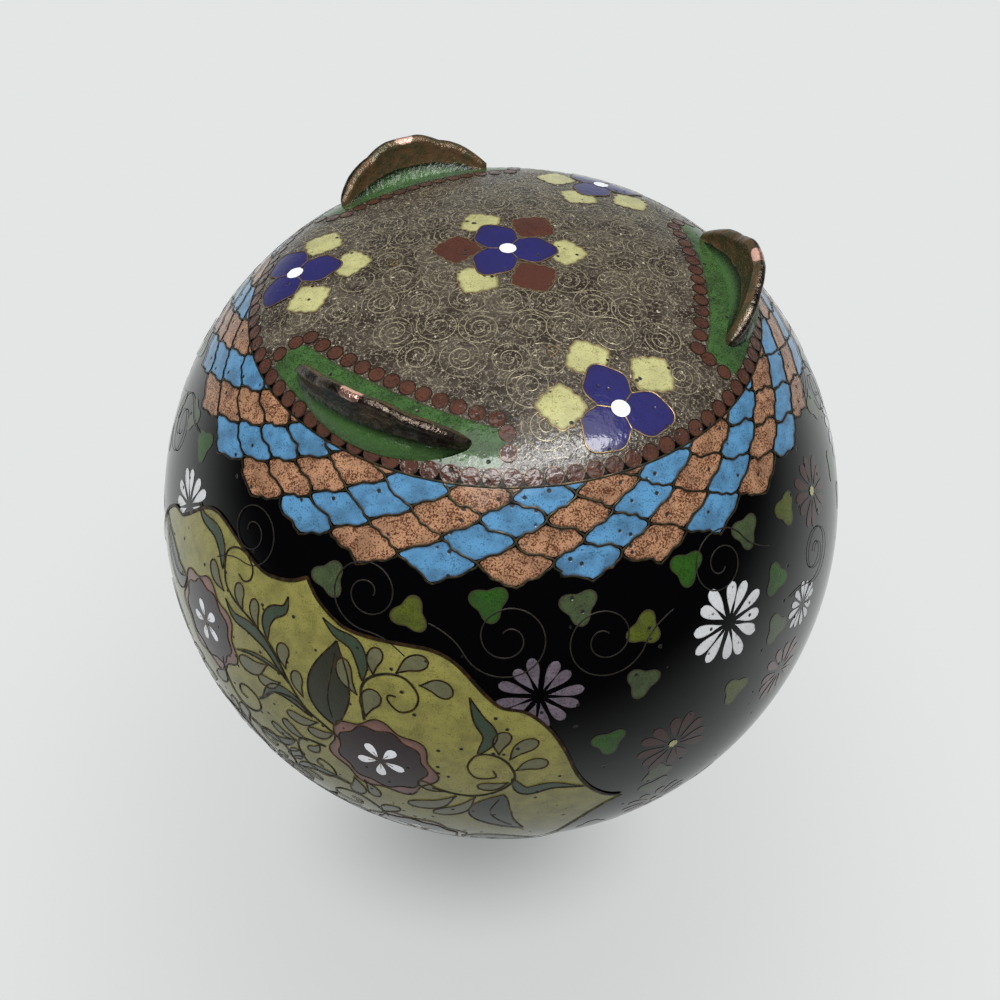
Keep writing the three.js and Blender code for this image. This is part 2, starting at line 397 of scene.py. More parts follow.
# spirals lie within SPIRAL_LIMIT of the middle, near a foot within APRON_CLEAR_RADIUS, and keep
# FLOWER_CLEARANCE from the middle of a flower, all in millimetres
SPIRAL_LIMIT = 35.4
FLOWER_CLEARANCE = 8.5
APRON_CLEAR_ANGLE = 34
APRON_CLEAR_RADIUS = 26.4
FOOT_AZIMUTHS = (-60.0, 60.0, 180.0)
FLOWER_AZIMUTHS = (-118.4, 0.0, 120.0)
FLOWER_POLAR = 31.4
FLOWER_RADIUS = 33.3
CENTRE_FLOWER = (-0.14, 1.3)
whole_turn = angle_chart()
rng = np.random.default_rng(7)


def ring_sheet(layer, low, high, rows, columns=240):
    """A band of the globe between two polar angles, all the way round."""
    around = np.arange(columns) * 360 / columns
    polar, azimuth = np.meshgrid(np.linspace(low, high, rows), around, indexing="ij")
    flat = np.stack([azimuth.ravel(), polar.ravel()], -1)
    layer.add(whole_turn, flat, grid_faces(rows, columns, wrap=True), 0.0)


def apron_inner_edge(offset):
    """Polar angle of the apron's inner edge, at offset degrees from the middle of a foot."""
    return 29.7 + 2.0 * (offset / 29) ** 2


def ring_path(polar):
    """A circle of 240 points round the jar's axis."""
    return np.stack([np.arange(240) * 1.5, np.full(240, polar)], -1)


ring_sheet(taupe_ground, 0.4, GROUND_EDGE, 62)
taupe_ground.fan(whole_turn, ring_path(0.4), middle=(0.0, 0.001), rings=1)

columns, rows = np.meshgrid(np.arange(-8, 9), np.arange(-9, 10))
spots = np.stack([columns + 0.5 * (rows % 2), rows * SPIRAL_ROW_SHARE], -1).reshape(-1, 2) * SPIRAL_STEP
spots = spots + rng.uniform(-SPIRAL_DISORDER, SPIRAL_DISORDER, spots.shape)
radius = np.hypot(spots[:, 0], spots[:, 1])
angle = np.degrees(np.arctan2(spots[:, 1], spots[:, 0]))
foot_offset = np.min([np.abs((angle - a + 180) % 360 - 180) for a in FOOT_AZIMUTHS], axis=0)
flower_places = [FLOWER_RADIUS * heading_vector(a) for a in FLOWER_AZIMUTHS] + [CENTRE_FLOWER]
flower_distance = np.min([np.hypot(*(spots - place).T) for place in flower_places], axis=0)
free = (
    (radius < SPIRAL_LIMIT)
    & (flower_distance > FLOWER_CLEARANCE)
    & ((foot_offset > APRON_CLEAR_ANGLE) | (radius < APRON_CLEAR_RADIUS))
)
for spot in spots[free]:
    size = SPIRAL_RADIUS * rng.uniform(0.85, 1.08)
    turns = rng.uniform(2.2, 3.2)
    start = rng.uniform(0, 360)
    hand = rng.choice([-1, 1])
    path = spiral(size, turns, start, hand, 0.1, 72, spot)
    ground_scrolls.wire(underside_chart, path, width=SPIRAL_WIDTH)
# two single loops of wire: x, y and turn
for x, y, turn in ((17.4, -1.5, 40), (-6.6, -20.8, 100)):
    line = np.array([x, y]) + np.linspace(-1.0, 1.0, 14)[:, None] * heading_vector(turn)
    gold_wires.wire(underside_chart, blade_outline(line, drop_widths(0.75, 14)), width=0.2, closed=True)
print("spirals on the underside:", int(free.sum()))

# %% [markdown]
# ## Flowers of the underside
#
# The three blue petals of a flower meet in its middle. Their common outline is a sum of waves,
# r(θ) = Σ cₖ cos 3kθ, with a point and two shoulders for each petal, and a wire parts them. A single
# petal is a rounded square with a slight waist in each side, r(θ) = R (1 − d + d cos 4θ + e cos 12θ).
# The middle flower has rust petals between the blue ones and yellow ones behind their points. The
# three outer flowers have three yellow petals each.

# %% Underside flowers
PETAL_WAVES = (5.82, 1.9, -0.28, 0.35)
PETAL_WAIST = 0.085
PETAL_BUMPS = 0.04
HEART_RADIUS = 1.32
# heading, distance and radius of the single petals, in degrees and millimetres
CENTRE_YELLOW = ((180, 8.9, 3.5), (60, 8.9, 3.5), (-60, 8.9, 3.5))
CENTRE_RUST = ((0, 7.9, 3.65), (120, 7.9, 3.65), (-120, 7.9, 3.65))
OUTER_YELLOW = ((-90, 9.1, 3.6), (-24, 8.2, 3.6), (-156, 8.2, 3.6))


def petal(layer, wires, chart, heading, distance, radius):
    """One four-cornered petal at a distance from the flower's middle, with a corner facing out."""
    outline = lobed(radius, 4, PETAL_WAIST, 0, 72)
    theta = np.arctan2(outline[:, 1], outline[:, 0])
    outline = outline * (1 + PETAL_BUMPS * np.cos(12 * theta))[:, None] + (distance, 0.0)
    c, s = heading_vector(heading)
    outline = outline @ np.array([[c, s], [-s, c]])
    layer.fan(chart, outline, middle=(distance * c, distance * s), rings=6)
    wires.wire(chart, outline, width=0.16, closed=True)


def three_petals(layer, hearts, wires, chart, heading, size=1.0):
    """The blue petals and the white heart of a flower, one petal pointing along heading."""
    theta = np.linspace(0, 2 * np.pi, 120, endpoint=False)
    radius = size * sum(c * np.cos(3 * k * theta) for k, c in enumerate(PETAL_WAVES))
    theta = theta + math.radians(heading)
    outline = np.stack([radius * np.cos(theta), radius * np.sin(theta)], -1)
    layer.fan(chart, outline, rings=8)
    wires.wire(chart, outline, width=0.2, closed=True)
    for turn in (60, 180, 300):
        line = np.linspace(1.3, 3.3, 8)[:, None] * size * heading_vector(heading + turn)
        wires.wire(chart, line, width=0.2)
    hearts.fan(chart, lobed(HEART_RADIUS * size, count=24), rings=2)


def shifted(chart, x, y):
    """A chart whose origin is moved to a point of another."""
    return lambda u, v: chart(x + u, y + v)


centre_chart = shifted(underside_chart, *CENTRE_FLOWER)
for heading, distance, size in CENTRE_YELLOW:
    petal(yellow_petals, low_wires, centre_chart, heading, distance, size)
for heading, distance, size in CENTRE_RUST:
    petal(rust_petals, low_wires, centre_chart, heading, distance, size)
three_petals(cobalt_petals, white_hearts, gold_wires, centre_chart, 180)

# in a tangent chart v runs away from the middle of the underside, so that −90° points back to it
for azimuth in FLOWER_AZIMUTHS:
    chart = tangent_chart(azimuth, FLOWER_POLAR)
    for heading, distance, size in OUTER_YELLOW:
        petal(yellow_petals, low_wires, chart, heading, distance, size)
    three_petals(cobalt_petals, white_hearts, gold_wires, chart, -90)
print("petals:", len(cobalt_petals.points) + len(yellow_petals.points) + len(rust_petals.points))

# %% [markdown]
# ## Aprons and dots
#
# A green apron lies round each foot and hides its solder. A row of round maroon cells follows its
# inner edge and closes its ends, and a full ring of them divides the underside from the tiles.

# %% Aprons and dots
DOT_RADIUS = 1.26
DOT_WIRE = 0.16
DOT_RING_POLAR = 37.8
DOT_COUNT = 90
APRON_HALF_ANGLE = 30.5
APRON_OUTER_EDGE = 36.8
APRON_ROUND_START = 28.5
APRON_DOT_RADIUS = 1.18
APRON_DOT_SET_BACK = 1.25
# the dots that close an apron's ends: offset from the foot's middle and polar angle
APRON_END_DOTS = ((31.6, 32.6), (31.6, 35.2), (-31.0, 32.2), (-31.2, 34.8))


def dot(azimuth, polar, cells=maroon_dots, wires=dot_wires, radius=DOT_RADIUS):
    """A round cell with a wire round it."""
    chart = tangent_chart(azimuth, polar)
    cells.fan(chart, lobed(radius, count=14), rings=2)
    wires.wire(chart, lobed(radius, count=14), width=DOT_WIRE, closed=True)


for azimuth in np.arange(DOT_COUNT) * 360 / DOT_COUNT:
    dot(azimuth, DOT_RING_POLAR)

for foot in FOOT_AZIMUTHS:
    a = np.linspace(-APRON_HALF_ANGLE, APRON_HALF_ANGLE, 61)
    share = np.linspace(0, 1, 13)[:, None]
    # the ends are rounded: the band closes in a little over its last two degrees
    past = np.clip(np.abs(a) - APRON_ROUND_START, 0, None) / 2.2
    close = np.sqrt(np.clip(1 - past**2, 0.25, 1))
    middle = (apron_inner_edge(a) + APRON_OUTER_EDGE) / 2
    half = (APRON_OUTER_EDGE - apron_inner_edge(a)) / 2 * close
    polar = middle + (2 * share - 1) * half
    flat = np.stack([np.broadcast_to(a, polar.shape).ravel(), polar.ravel()], -1)
    rim = np.abs(2 * np.broadcast_to(share, polar.shape).ravel() - 1) ** 2
    apron_green.add(angle_chart(foot), flat, grid_faces(13, 61), rim)
    for offset in np.linspace(-APRON_ROUND_START, APRON_HALF_ANGLE, 13):
        dot(foot + offset, apron_inner_edge(offset) - APRON_DOT_SET_BACK, radius=APRON_DOT_RADIUS)
    for offset, polar_angle in APRON_END_DOTS:
        dot(foot + offset, polar_angle, radius=APRON_DOT_RADIUS)
print("dots:", len(maroon_dots.points))

# %% [markdown]
# ## The tiled band
#
# The tiles lie on two families of spiral lines, and each side of a tile is a soft S. With p and q
# counted along the two families from a tile's corner, a point lies at
# p e₁ + q e₂ − b sin(2πp) e₂ − b sin(2πq) e₁, with a small third wave on each S. The S has the same
# phase on opposite sides, so neighbours fit. Blue and salmon rows alternate, and the tiles nearest
# the underside are cut by the ring of dots.

# %% Tiles
TILE_ROWS = 30
TILE_FIRST_AZIMUTH = -8.0
TILE_LOWEST_POLAR = 48.0
TILE_HALF_WIDTH = 6.0
TILE_HALF_HEIGHT = 2.66
TILE_WAVE = 0.055
TILE_GAP = 0.022
TILE_BLUNT = 0.13
TILE_BUMP = 0.016
TILE_SAMPLES = 14
TILE_TIP = 1.22
TILE_ROUND_START = 0.72
TILE_ROUND = 1.7
TILE_HAND = 0.3
TILE_CUT = 38.9
TILE_WIRE = 0.27
EQUATOR = 88.7
MOUTH_TILE_CUT = 42.5


def tile_point(row, level, p, q):
    """Azimuth and polar angle of the point (p, q) of a tile; e₁ leads to the underside, e₂ away."""
    along = p - TILE_WAVE * np.sin(2 * np.pi * q) - TILE_BUMP * np.sin(6 * np.pi * q)
    down = q - TILE_WAVE * np.sin(2 * np.pi * p) - TILE_BUMP * np.sin(6 * np.pi * p)
    azimuth = TILE_FIRST_AZIMUTH - 2 * TILE_HALF_WIDTH * row - TILE_HALF_WIDTH * level
    azimuth = azimuth + TILE_HALF_WIDTH * (1 - along - down)
    drop = TILE_HALF_HEIGHT * (down - along)
    if level == 0:
        # the tile farthest from the underside is a little longer, and its tip is rounded off
        past = np.clip(down - along - TILE_ROUND_START, 0, None)
        longer = TILE_TIP * (drop - TILE_HALF_HEIGHT * TILE_ROUND * past**2)
        drop = np.where(drop > 0, longer, drop)
    polar = TILE_LOWEST_POLAR - TILE_HALF_HEIGHT * level + drop
    # a slow wobble, the same for all tiles, makes the rows look laid by hand
    wobble = np.sin(np.radians(23 * azimuth + 61 * polar)) + np.sin(np.radians(37 * azimuth - 47 * polar))
    wobble = wobble + 0.3 * np.sin(np.radians(131 * azimuth - 163 * polar))
    return azimuth + TILE_HAND * wobble, np.maximum(polar + 0.4 * TILE_HAND * wobble, TILE_CUT)


def tile_band(levels, flip_about=None, cut=TILE_CUT):
    """The whole band, or its mirror image above the middle of the jar."""
    chart = angle_chart(flip_about=flip_about)
    side = np.linspace(TILE_GAP, 1 - TILE_GAP, TILE_SAMPLES)
    p, q = (x.ravel() for x in np.meshgrid(side, side, indexing="ij"))
    blunt = 1 - TILE_BLUNT * np.abs((2 * p - 1) * (2 * q - 1)) ** 3
    p, q = 0.5 + (p - 0.5) * blunt, 0.5 + (q - 0.5) * blunt
    rim = np.maximum(np.abs(2 * p - 1), np.abs(2 * q - 1))
    edge = np.linspace(0, 1, 25)
    shared_sides = [(0 * edge, edge), (edge, 0 * edge)]
    tip_side = [(edge, 0 * edge + 1)]
    for row in range(TILE_ROWS):
        for level in range(levels):
            azimuth, polar = tile_point(row, level, p, q)
            polar = np.maximum(polar, cut)
            layer = salmon_tiles if row % 2 else sky_tiles
            layer.add(chart, np.stack([azimuth, polar], -1), grid_faces(TILE_SAMPLES, TILE_SAMPLES), rim)
            for along, down in shared_sides + (tip_side if level == 0 else []):
                azimuth, polar = tile_point(row, level, along, down)
                kept = polar > cut + 0.02
                if kept.sum() > 2:
                    path = np.stack([azimuth[kept], polar[kept]], -1)
                    tile_wires.wire(chart, path, width=TILE_WIRE)


tile_band(5)
tile_band(3, flip_about=EQUATOR, cut=MOUTH_TILE_CUT)
for polar in (38.85, 2 * EQUATOR - 42.4):
    tile_wires.wire(whole_turn, ring_path(polar), width=0.3, closed=True)
print("tiles:", len(sky_tiles.points) + len(salmon_tiles.points))

# %% [markdown]
# ## The mustard panels
#
# Two cartouches with cusped outlines lie opposite each other. The outline is given for one quarter,
# in degrees from the panel's middle line, and mirrored. A slight lean makes one shoulder higher than
# the other, as it is on the jar. Each quarter is two smooth runs that meet in a sharp cusp.

# %% Panel outline
PANEL_AZIMUTHS = (-60.0, 120.0)
PANEL_LEAN = 1.45
PANEL_REACH = 48.0
UPPER_RUN = (
    (0, 55.2), (2.4, 56.9), (5.6, 58.2), (9, 58.7), (18, 57.8), (21.6, 58), (24.7, 59.5), (28.6, 63.5),
)
SIDE_RUN = (
    (28.6, 63.5), (30.6, 65.2), (33.5, 66), (35.6, 67.6), (37.7, 70.4),
    (39.5, 74.5), (41, 79.2), (43.1, 83.6), (45.6, 86.9), (48, 88.7),
)


def panel_outline():
    """The closed outline in degrees: a from the middle line, p the polar angle."""
    right = np.concatenate([curve(UPPER_RUN, 40)[:-1], curve(SIDE_RUN, 56)])
    left = right[::-1] * (-1, 1)
    lean = PANEL_LEAN * np.sin(np.pi * np.abs(right[:, 0]) / PANEL_REACH)
    upper_right = right + np.stack([np.zeros(len(right)), lean], -1)
    upper_left = left - np.stack([np.zeros(len(left)), lean[::-1]], -1)
    far = np.concatenate([upper_right[:-1][::-1], upper_left[1:-1][::-1]]) * (1, -1) + (0, 2 * EQUATOR)
    return np.concatenate([upper_left[:-1], upper_right, far])


outline = panel_outline()
for azimuth in PANEL_AZIMUTHS:
    chart = angle_chart(azimuth, hand=-1)
    mustard_panels.fan(chart, outline, middle=(0.0, EQUATOR), rings=40)
    panel_wires.wire(chart, outline, width=0.55, closed=True)
print("panel outline points:", len(outline))

# %% [markdown]
# ## Sprays on the panels
#
# Each panel has peony-like flowers with scrolling stems. A stem is a wire with a thin green blade
# under it. Leaves are drops on short stalks and long pointed blades. The drawing is laid out in
# degrees on the half of a panel nearer the underside and turned half round for the other half.

# %% Sprays
STEMS = (
    ((8.5, 78), (6, 76.5), (3, 75), (0.5, 72.5), (-2, 69.5), (-5, 67.2), (-8, 66), (-12, 65.2), (-14.5, 64),
     (-15.8, 61.5), (-16, 59.5), (-14.5, 58), (-12, 57.6), (-10, 58.7), (-9.8, 60.3), (-11, 61.3),
     (-12.4, 61)),
    ((12, 72.3), (11.6, 70), (11.3, 67), (12.5, 65), (15, 63.8), (17.5, 64), (19.3, 66), (18.9, 68.2),
     (17, 69.2), (15.3, 68), (15.2, 67), (16.3, 66.9)),
    ((21.5, 83.4), (26.3, 84.3), (30, 83), (32.5, 79.9), (31.9, 76.8), (30, 74.9), (27.5, 74.9), (26.3, 77.4),
     (27.5, 79.6), (30, 79.3), (29.7, 77.9)),
    ((6, 81.3), (3, 81.8), (1.5, 83), (1, 85.5), (2, 89), (4.5, 90.6), (6.8, 89), (6.5, 86.5), (4.8, 85.6),
     (4, 87), (5, 87.8)),
    ((-13.7, 77.5), (-13.4, 80), (-12, 83), (-10, 84.8), (-7.4, 84.2), (-5.7, 82), (-6, 79.8), (-8, 79),
     (-9.8, 80), (-9.8, 81.7), (-8.4, 82)),
    ((-5.6, 79.4), (-4.4, 78), (-2.4, 75.4), (1, 74.4), (4, 76)),
)
# stalk end (a, p), round end (a, p), half width, all in degrees
DROPS = (
    ((-14.6, 65.4), (-18.8, 62.8), 1.1), ((-10, 65.6), (-11.6, 62), 1.05), ((-6.4, 66.4), (-8, 62.4), 0.95),
    ((-0.7, 69.8), (-1.4, 65.9), 1.1), ((2.5, 73), (1.2, 69), 1.0), ((-4, 71.2), (-9.8, 74.4), 1.4),
    ((-1.5, 72.8), (-5.7, 74.8), 1.0), ((5, 76.5), (-0.4, 77.9), 1.0), ((7.5, 77.3), (3.2, 79.2), 0.95),
    ((10.8, 68.5), (8, 63.6), 1.2), ((12.2, 71.6), (13.7, 67), 1.4), ((12.8, 64.6), (13.3, 60.6), 1.1),
    ((16, 63.4), (20.4, 60.9), 1.1), ((19.4, 64.4), (24, 65.2), 1.2), ((30.4, 74.6), (31.6, 70.6), 1.1),
    ((31.8, 75.6), (35.6, 72.2), 1.1), ((32.6, 77.8), (37.0, 76.6), 1.1), ((31.8, 80.4), (27.6, 81.6), 0.9),
    ((24.8, 84.6), (17.8, 89.8), 1.3), ((27.4, 84.4), (21.4, 91.4), 1.2),
    ((10, 86.4), (9.6, 92), 1.2), ((3, 82.2), (-1.2, 80.2), 1.0), ((1, 84), (-3.7, 83.2), 0.9),
    ((5, 81.6), (2.8, 84.4), 0.7), ((11.6, 86.2), (12.8, 90.8), 1.0), ((-13.4, 79.4), (-16.2, 84.6), 1.1),
    ((1.2, 86.2), (-1.6, 90.6), 0.9), ((23.4, 83.8), (19.6, 82.2), 0.8),
)
# points along the leaf, half width
BLADES = (
    (((-16, 62.5), (-17.5, 60), (-20, 58.8), (-24, 59.2), (-26.5, 58.5)), 0.95),
    (((-4.5, 67), (-5.2, 64.5), (-4.5, 62.5), (-2.5, 61), (-2.3, 59)), 0.95),
    (((0, 72), (-4, 68.3), (-8, 67.3), (-11.5, 67.6), (-14, 66.2)), 0.95),
    (((4, 76), (1, 74.5), (-1.5, 74.3), (-3.5, 75.5), (-5, 78.5)), 0.95),
    (((11.3, 66), (11, 63.5), (9.5, 61.2), (6.5, 60.5), (4, 59.3)), 0.95),
    (((27.6, 74.8), (29.2, 71.4), (27.6, 68.4), (26.3, 65.2)), 1.0),
    (((32.2, 79.6), (34.0, 82.6), (37.6, 81.8), (42.2, 83.2)), 0.95),
    (((0.5, 84.2), (-2, 87), (-5.5, 88.3), (-9.5, 87.8)), 0.8),
    (((-0.5, 71.2), (-4, 70.7), (-7.5, 71.4), (-10.5, 73)), 0.35),
)
BIG_LEAVES = (
    (((7.6, 75.5), (6.4, 71), (6.6, 66), (6.8, 61.6)), 3.3),
    (((31.2, 83.6), (29.4, 88.6), (30.6, 92.0), (34.2, 96.2)), 3.0),
    (((-25.2, 71.6), (-29.0, 73.6), (-33.0, 72.0), (-37.8, 69.4)), 2.8),
)
BLOSSOMS = ((14.4, 79.5), (-18.1, 74.0))
# layer, radius in degrees, number of lobes, their depth and turn
BLOSSOM_RINGS = ((rose_lobes, 8.0, 7, 0.075, 10), (plum_lobes, 6.5, 9, 0.05, 4))
LEAF_STEPS = 22


def spray_blade(layer, chart, points, half_width, kind=leaf_widths, vein=False):
    """A leaf with a dark wire round it."""
    spine = curve(points, LEAF_STEPS)
    widths = kind(half_width, LEAF_STEPS)
    layer.blade(chart, spine, widths, across=4)
    panel_wires.wire(chart, blade_outline(spine, widths), width=0.26, closed=True)
    if vein:
        panel_wires.wire(chart, spine[2:-3], width=0.18)


def blossom(chart, a, p):
    """Pink outer lobes, a plum disc with lobes of its own, and a white star of five petals."""
    place = shifted(chart, a, p)
    for layer, radius, lobes, depth, turn in BLOSSOM_RINGS:
        edge = lobed(radius, lobes, depth, turn, 96)
        edge = edge * (1 + 0.02 * np.cos(2 * np.arctan2(edge[:, 1], edge[:, 0]) - 1))[:, None]
        layer.fan(place, edge, rings=7)
        panel_wires.wire(place, edge, width=0.26, closed=True)
    for i in range(5):
        line = np.linspace(0.45, 3.5, 16)[:, None] * heading_vector(-126 + 72 * i)
        white_hearts.blade(place, line, drop_widths(0.72, 16, 0.72))
        gold_wires.wire(place, line[:8], width=0.14)


def spray(chart):
    """The whole drawing, through one chart."""
    for points in STEMS:
        path = curve(points, 14 * len(points))
        s = np.linspace(0, 1, len(path))
        spray_blades.blade(chart, path, 0.28 * (1 - 0.7 * s), across=2)
        panel_wires.wire(chart, path, width=0.3)
    for stalk, end, half_width in DROPS:
        stalk, end = np.array(stalk), np.array(end)
        bend = (stalk + end) / 2 + 0.12 * (end - stalk)[::-1] * (1, -1)
        spray_blade(spray_drops, chart, (stalk, bend, end), half_width, drop_widths)
    for points, half_width in BLADES:
        spray_blade(spray_blades, chart, points, half_width)
    for points, half_width in BIG_LEAVES:
        spray_blade(spray_leaves, chart, points, half_width, vein=True)
    for a, p in BLOSSOMS:
        blossom(chart, a, p)


for azimuth in PANEL_AZIMUTHS:
    spray(angle_chart(azimuth, hand=-1))
    spray(angle_chart(azimuth, hand=1, flip_about=EQUATOR))
print("spray cells:", len(spray_drops.points) + len(spray_blades.points))

# %% [markdown]
# ## Flowers on the black ground
#
# Between the panels lie chrysanthemums, small three-lobed leaves and thin scrolls. A chrysanthemum
# is a ring of drops. The jar repeats its drawing after half a turn. What faces away from the photo
# is a mirror image with fewer flowers, so that the hidden half stays in keeping but plainer.

# %% Black ground
# layer, azimuth, polar, size in millimetres, turn in degrees
GAP_FLOWERS = (
    (white_petals, -125.2, 62.95, 7.0, 15),
    (lilac_petals, -95.7, 65.0, 6.3, 8),
    (white_petals, -30.7, 61.2, 6.2, 0),
    (brown_petals, -115.0, 79.5, 6.5, 0),
    (pink_petals, -136.1, 80.0, 6.0, 10),
    (brown_petals, -151.9, 57.9, 6.0, 5),
    (white_petals, -141.8, 71.2, 4.4, 20),
)
# layer, azimuth, polar, turn in degrees
GAP_LEAVES = (
    (leaf_green, -88.5, 52.5, 100), (leaf_green, -119.9, 52.7, 80), (leaf_grey, -101.8, 53.5, 95),
    (leaf_grey, -132.6, 52.8, 85), (leaf_olive, -111.3, 58.4, 10), (leaf_olive, -143.0, 55.0, 90),
    (leaf_olive, -77.0, 55.2, 20), (leaf_green, -136.2, 62.3, 30), (leaf_grey, -134.6, 69.9, 40),
    (leaf_grey, -113.2, 90.1, 100), (leaf_grey, -110.2, 65.8, 70), (leaf_olive, -125.5, 75.2, 60),
    (leaf_green, -105.2, 74.5, 95), (leaf_grey, -63.5, 54.0, 10), (leaf_green, -26.9, 52.7, 0),
)
# azimuth, polar, radius in millimetres, start of the tail in degrees, hand
GAP_SCROLLS = (
    (-91.3, 56.9, 6.4, 20, 1),
    (-105.2, 58.3, 6.2, 160, -1),
    (-126.0, 54.5, 5.4, 200, 1),
    (-47.5, 54.4, 5.2, 90, 1),
    (-70.1, 53.9, 5.6, 100, -1),
    (-148.0, 66.0, 5.2, 40, 1),
)
# flowers larger than this, and leaves and scrolls between these azimuths, are also mirrored
MIRRORED_FLOWER_SIZE = 6.4
MIRRORED_LEAVES = (-140, -100)
MIRRORED_SCROLLS = (-130, -100)
GAP_MIDDLE = -150.0
PETALS = 12
LEAF_SIZE = 2.95


def chrysanthemum(azimuth, polar, layer, size, turn):
    """A ring of drops round a small open middle, each a little off in place and length."""
    chart = tangent_chart(azimuth, polar)
    for i in range(PETALS):
        heading = turn + 360 / PETALS * i + 3 * math.sin(2.7 * i + turn)
        reach = size * (0.95 + 0.06 * math.sin(4.1 * i + turn))
        line = np.linspace(0.2 * size, reach, 20)[:, None] * heading_vector(heading)
        layer.blade(chart, line, drop_widths(0.138 * size, 20, 0.74))
    if layer is brown_petals:
        yellow_petals.fan(chart, lobed(0.9, 8, 0.12, count=24), rings=2)


def trefoil(azimuth, polar, layer, turn):
    """A small leaf of three rounded lobes."""
    layer.fan(tangent_chart(azimuth, polar), lobed(LEAF_SIZE, 3, 0.19, turn, 42), rings=4)


def black_scroll(azimuth, polar, radius, start, hand):
    """A thin scroll with a tail that runs off its outer turn."""
    coil = spiral(radius, 1.8, start, hand, 0.16, 72)
    first, heading = coil[0], coil[0] - coil[1]
    tail = first + np.linspace(5.5, 0.25, 12)[:, None] * heading / np.linalg.norm(heading)
    bend = np.linspace(1, 0, 12)[:, None] ** 2 * 2.2 * -first / radius
    black_scrolls.wire(tangent_chart(azimuth, polar), np.concatenate([tail - bend, coil]), width=0.2)


def both_gaps(kind, azimuth, polar, *rest):
    """One motif, and the same one half a turn further."""
    for half in (0, 180):
        kind(azimuth + half, polar, *rest)


for layer, azimuth, polar, size, turn in GAP_FLOWERS:
    both_gaps(chrysanthemum, azimuth, polar, layer, size, turn)
    if size > MIRRORED_FLOWER_SIZE:
        mirrored, far = 2 * GAP_MIDDLE - azimuth, 2 * EQUATOR - polar
        for a, p in ((mirrored, polar), (azimuth, far), (mirrored, far)):
            both_gaps(chrysanthemum, a, p, layer, size, turn)
for layer, azimuth, polar, turn in GAP_LEAVES:
    both_gaps(trefoil, azimuth, polar, layer, turn)
    if MIRRORED_LEAVES[0] < azimuth < MIRRORED_LEAVES[1]:
        mirrored, far = 2 * GAP_MIDDLE - azimuth, 2 * EQUATOR - polar - 1.5
        for a, p, half_turn in ((mirrored, polar, 0), (mirrored, far, 180), (azimuth, far, 180)):
            both_gaps(trefoil, a, p, layer, turn + half_turn)
for azimuth, polar, radius, start, hand in GAP_SCROLLS:
    both_gaps(black_scroll, azimuth, polar, radius, start, hand)
    if MIRRORED_SCROLLS[0] < azimuth < MIRRORED_SCROLLS[1]:
        both_gaps(black_scroll, 2 * GAP_MIDDLE - azimuth, polar, radius, start + 90, -hand)
print("black ground petals:", len(white_petals.points) + len(lilac_petals.points) + len(brown_petals.points))

# %% [markdown]
# ## The lid's pattern
#
# The lid carries the line of the globe on, so its pattern uses the same surface. The photo doesn't
# show the lid. It gets a ring of dots, the taupe ground with spirals, and three small flowers, all
# repeated from the underside. They are layers of their own.

# %% Lid pattern
LID_GROUND = (148.6, 173.0)
LID_DOT_POLAR = 147.2
LID_DOT_COUNT = 80
LID_DOT_RADIUS = 1.22
LID_FLOWER_POLAR = 159.4
LID_FLOWER_SIZE = 0.75
LID_FLOWER_CLEARANCE = 8.0
# polar angle of a ring of spirals and how many lie on it
LID_SPIRAL_RINGS = ((151.8, 32), (157.2, 26), (162.6, 20), (168.0, 13))
lid_ground = Layer(GROUND_LIFT)
lid_scrolls = Layer(GROUND_LIFT, crown=0.03)
lid_yellow = Layer(PANEL_LIFT)
lid_cobalt = Layer(CELL_LIFT)
lid_dots = Layer(CELL_LIFT)
lid_dot_wires = Layer(TOP_LIFT, crown=0.02)
lid_hearts = Layer(WIRE_LIFT)
lid_wires = Layer(WIRE_LIFT)
ring_sheet(lid_ground, *LID_GROUND, 22, 180)
for azimuth in np.arange(LID_DOT_COUNT) * 360 / LID_DOT_COUNT:
    dot(azimuth, LID_DOT_POLAR, lid_dots, lid_dot_wires, LID_DOT_RADIUS)
for ring_polar, count in LID_SPIRAL_RINGS:
    for azimuth in np.arange(count) * 360 / count:
        aside = min(abs((azimuth - a + 180) % 360 - 180) for a in FLOWER_AZIMUTHS)
        across = BODY_RADIUS * math.sin(math.radians(ring_polar)) * 2 * math.sin(math.radians(aside) / 2)
        down = BODY_RADIUS * math.radians(ring_polar - LID_FLOWER_POLAR)
        if math.hypot(across, down) > LID_FLOWER_CLEARANCE:
            path = spiral(SPIRAL_RADIUS - 0.3, 2.2, rng.uniform(0, 360), rng.choice([-1, 1]), 0.14, 48)
            lid_scrolls.wire(tangent_chart(azimuth, ring_polar), path, width=0.15)
for azimuth in FLOWER_AZIMUTHS:
    chart = tangent_chart(azimuth, LID_FLOWER_POLAR)
    for heading in (150, 270, 30):
        petal(lid_yellow, lid_wires, chart, heading, 5.6, 2.1)
    three_petals(lid_cobalt, lid_hearts, lid_wires, chart, 90, LID_FLOWER_SIZE)
print("lid spirals:", len(lid_scrolls.points))

# %% [markdown]
# ## Materials
#
# Fired enamel is clear glass over a coloured body: dark or light flecks, a few burst bubbles that
# polishing has opened to small dark pits, and a faint cloudiness. One node group works all of this
# out from object coordinates and gives a colour, a roughness and a height. The shader itself stays
# in each material.


# %% Shader helpers
def group_tree(name, inputs, outputs):
    """A node group with the named sockets. Returns the tree, its input node and its output node."""
    tree = bpy.data.node_groups.new(name, "ShaderNodeTree")
    for label, kind, default in inputs:
        socket = tree.interface.new_socket(label, in_out="INPUT", socket_type=kind)
        socket.default_value = default
    for label, kind in outputs:
        tree.interface.new_socket(label, in_out="OUTPUT", socket_type=kind)
    return tree, tree.nodes.new("NodeGroupInput"), tree.nodes.new("NodeGroupOutput")


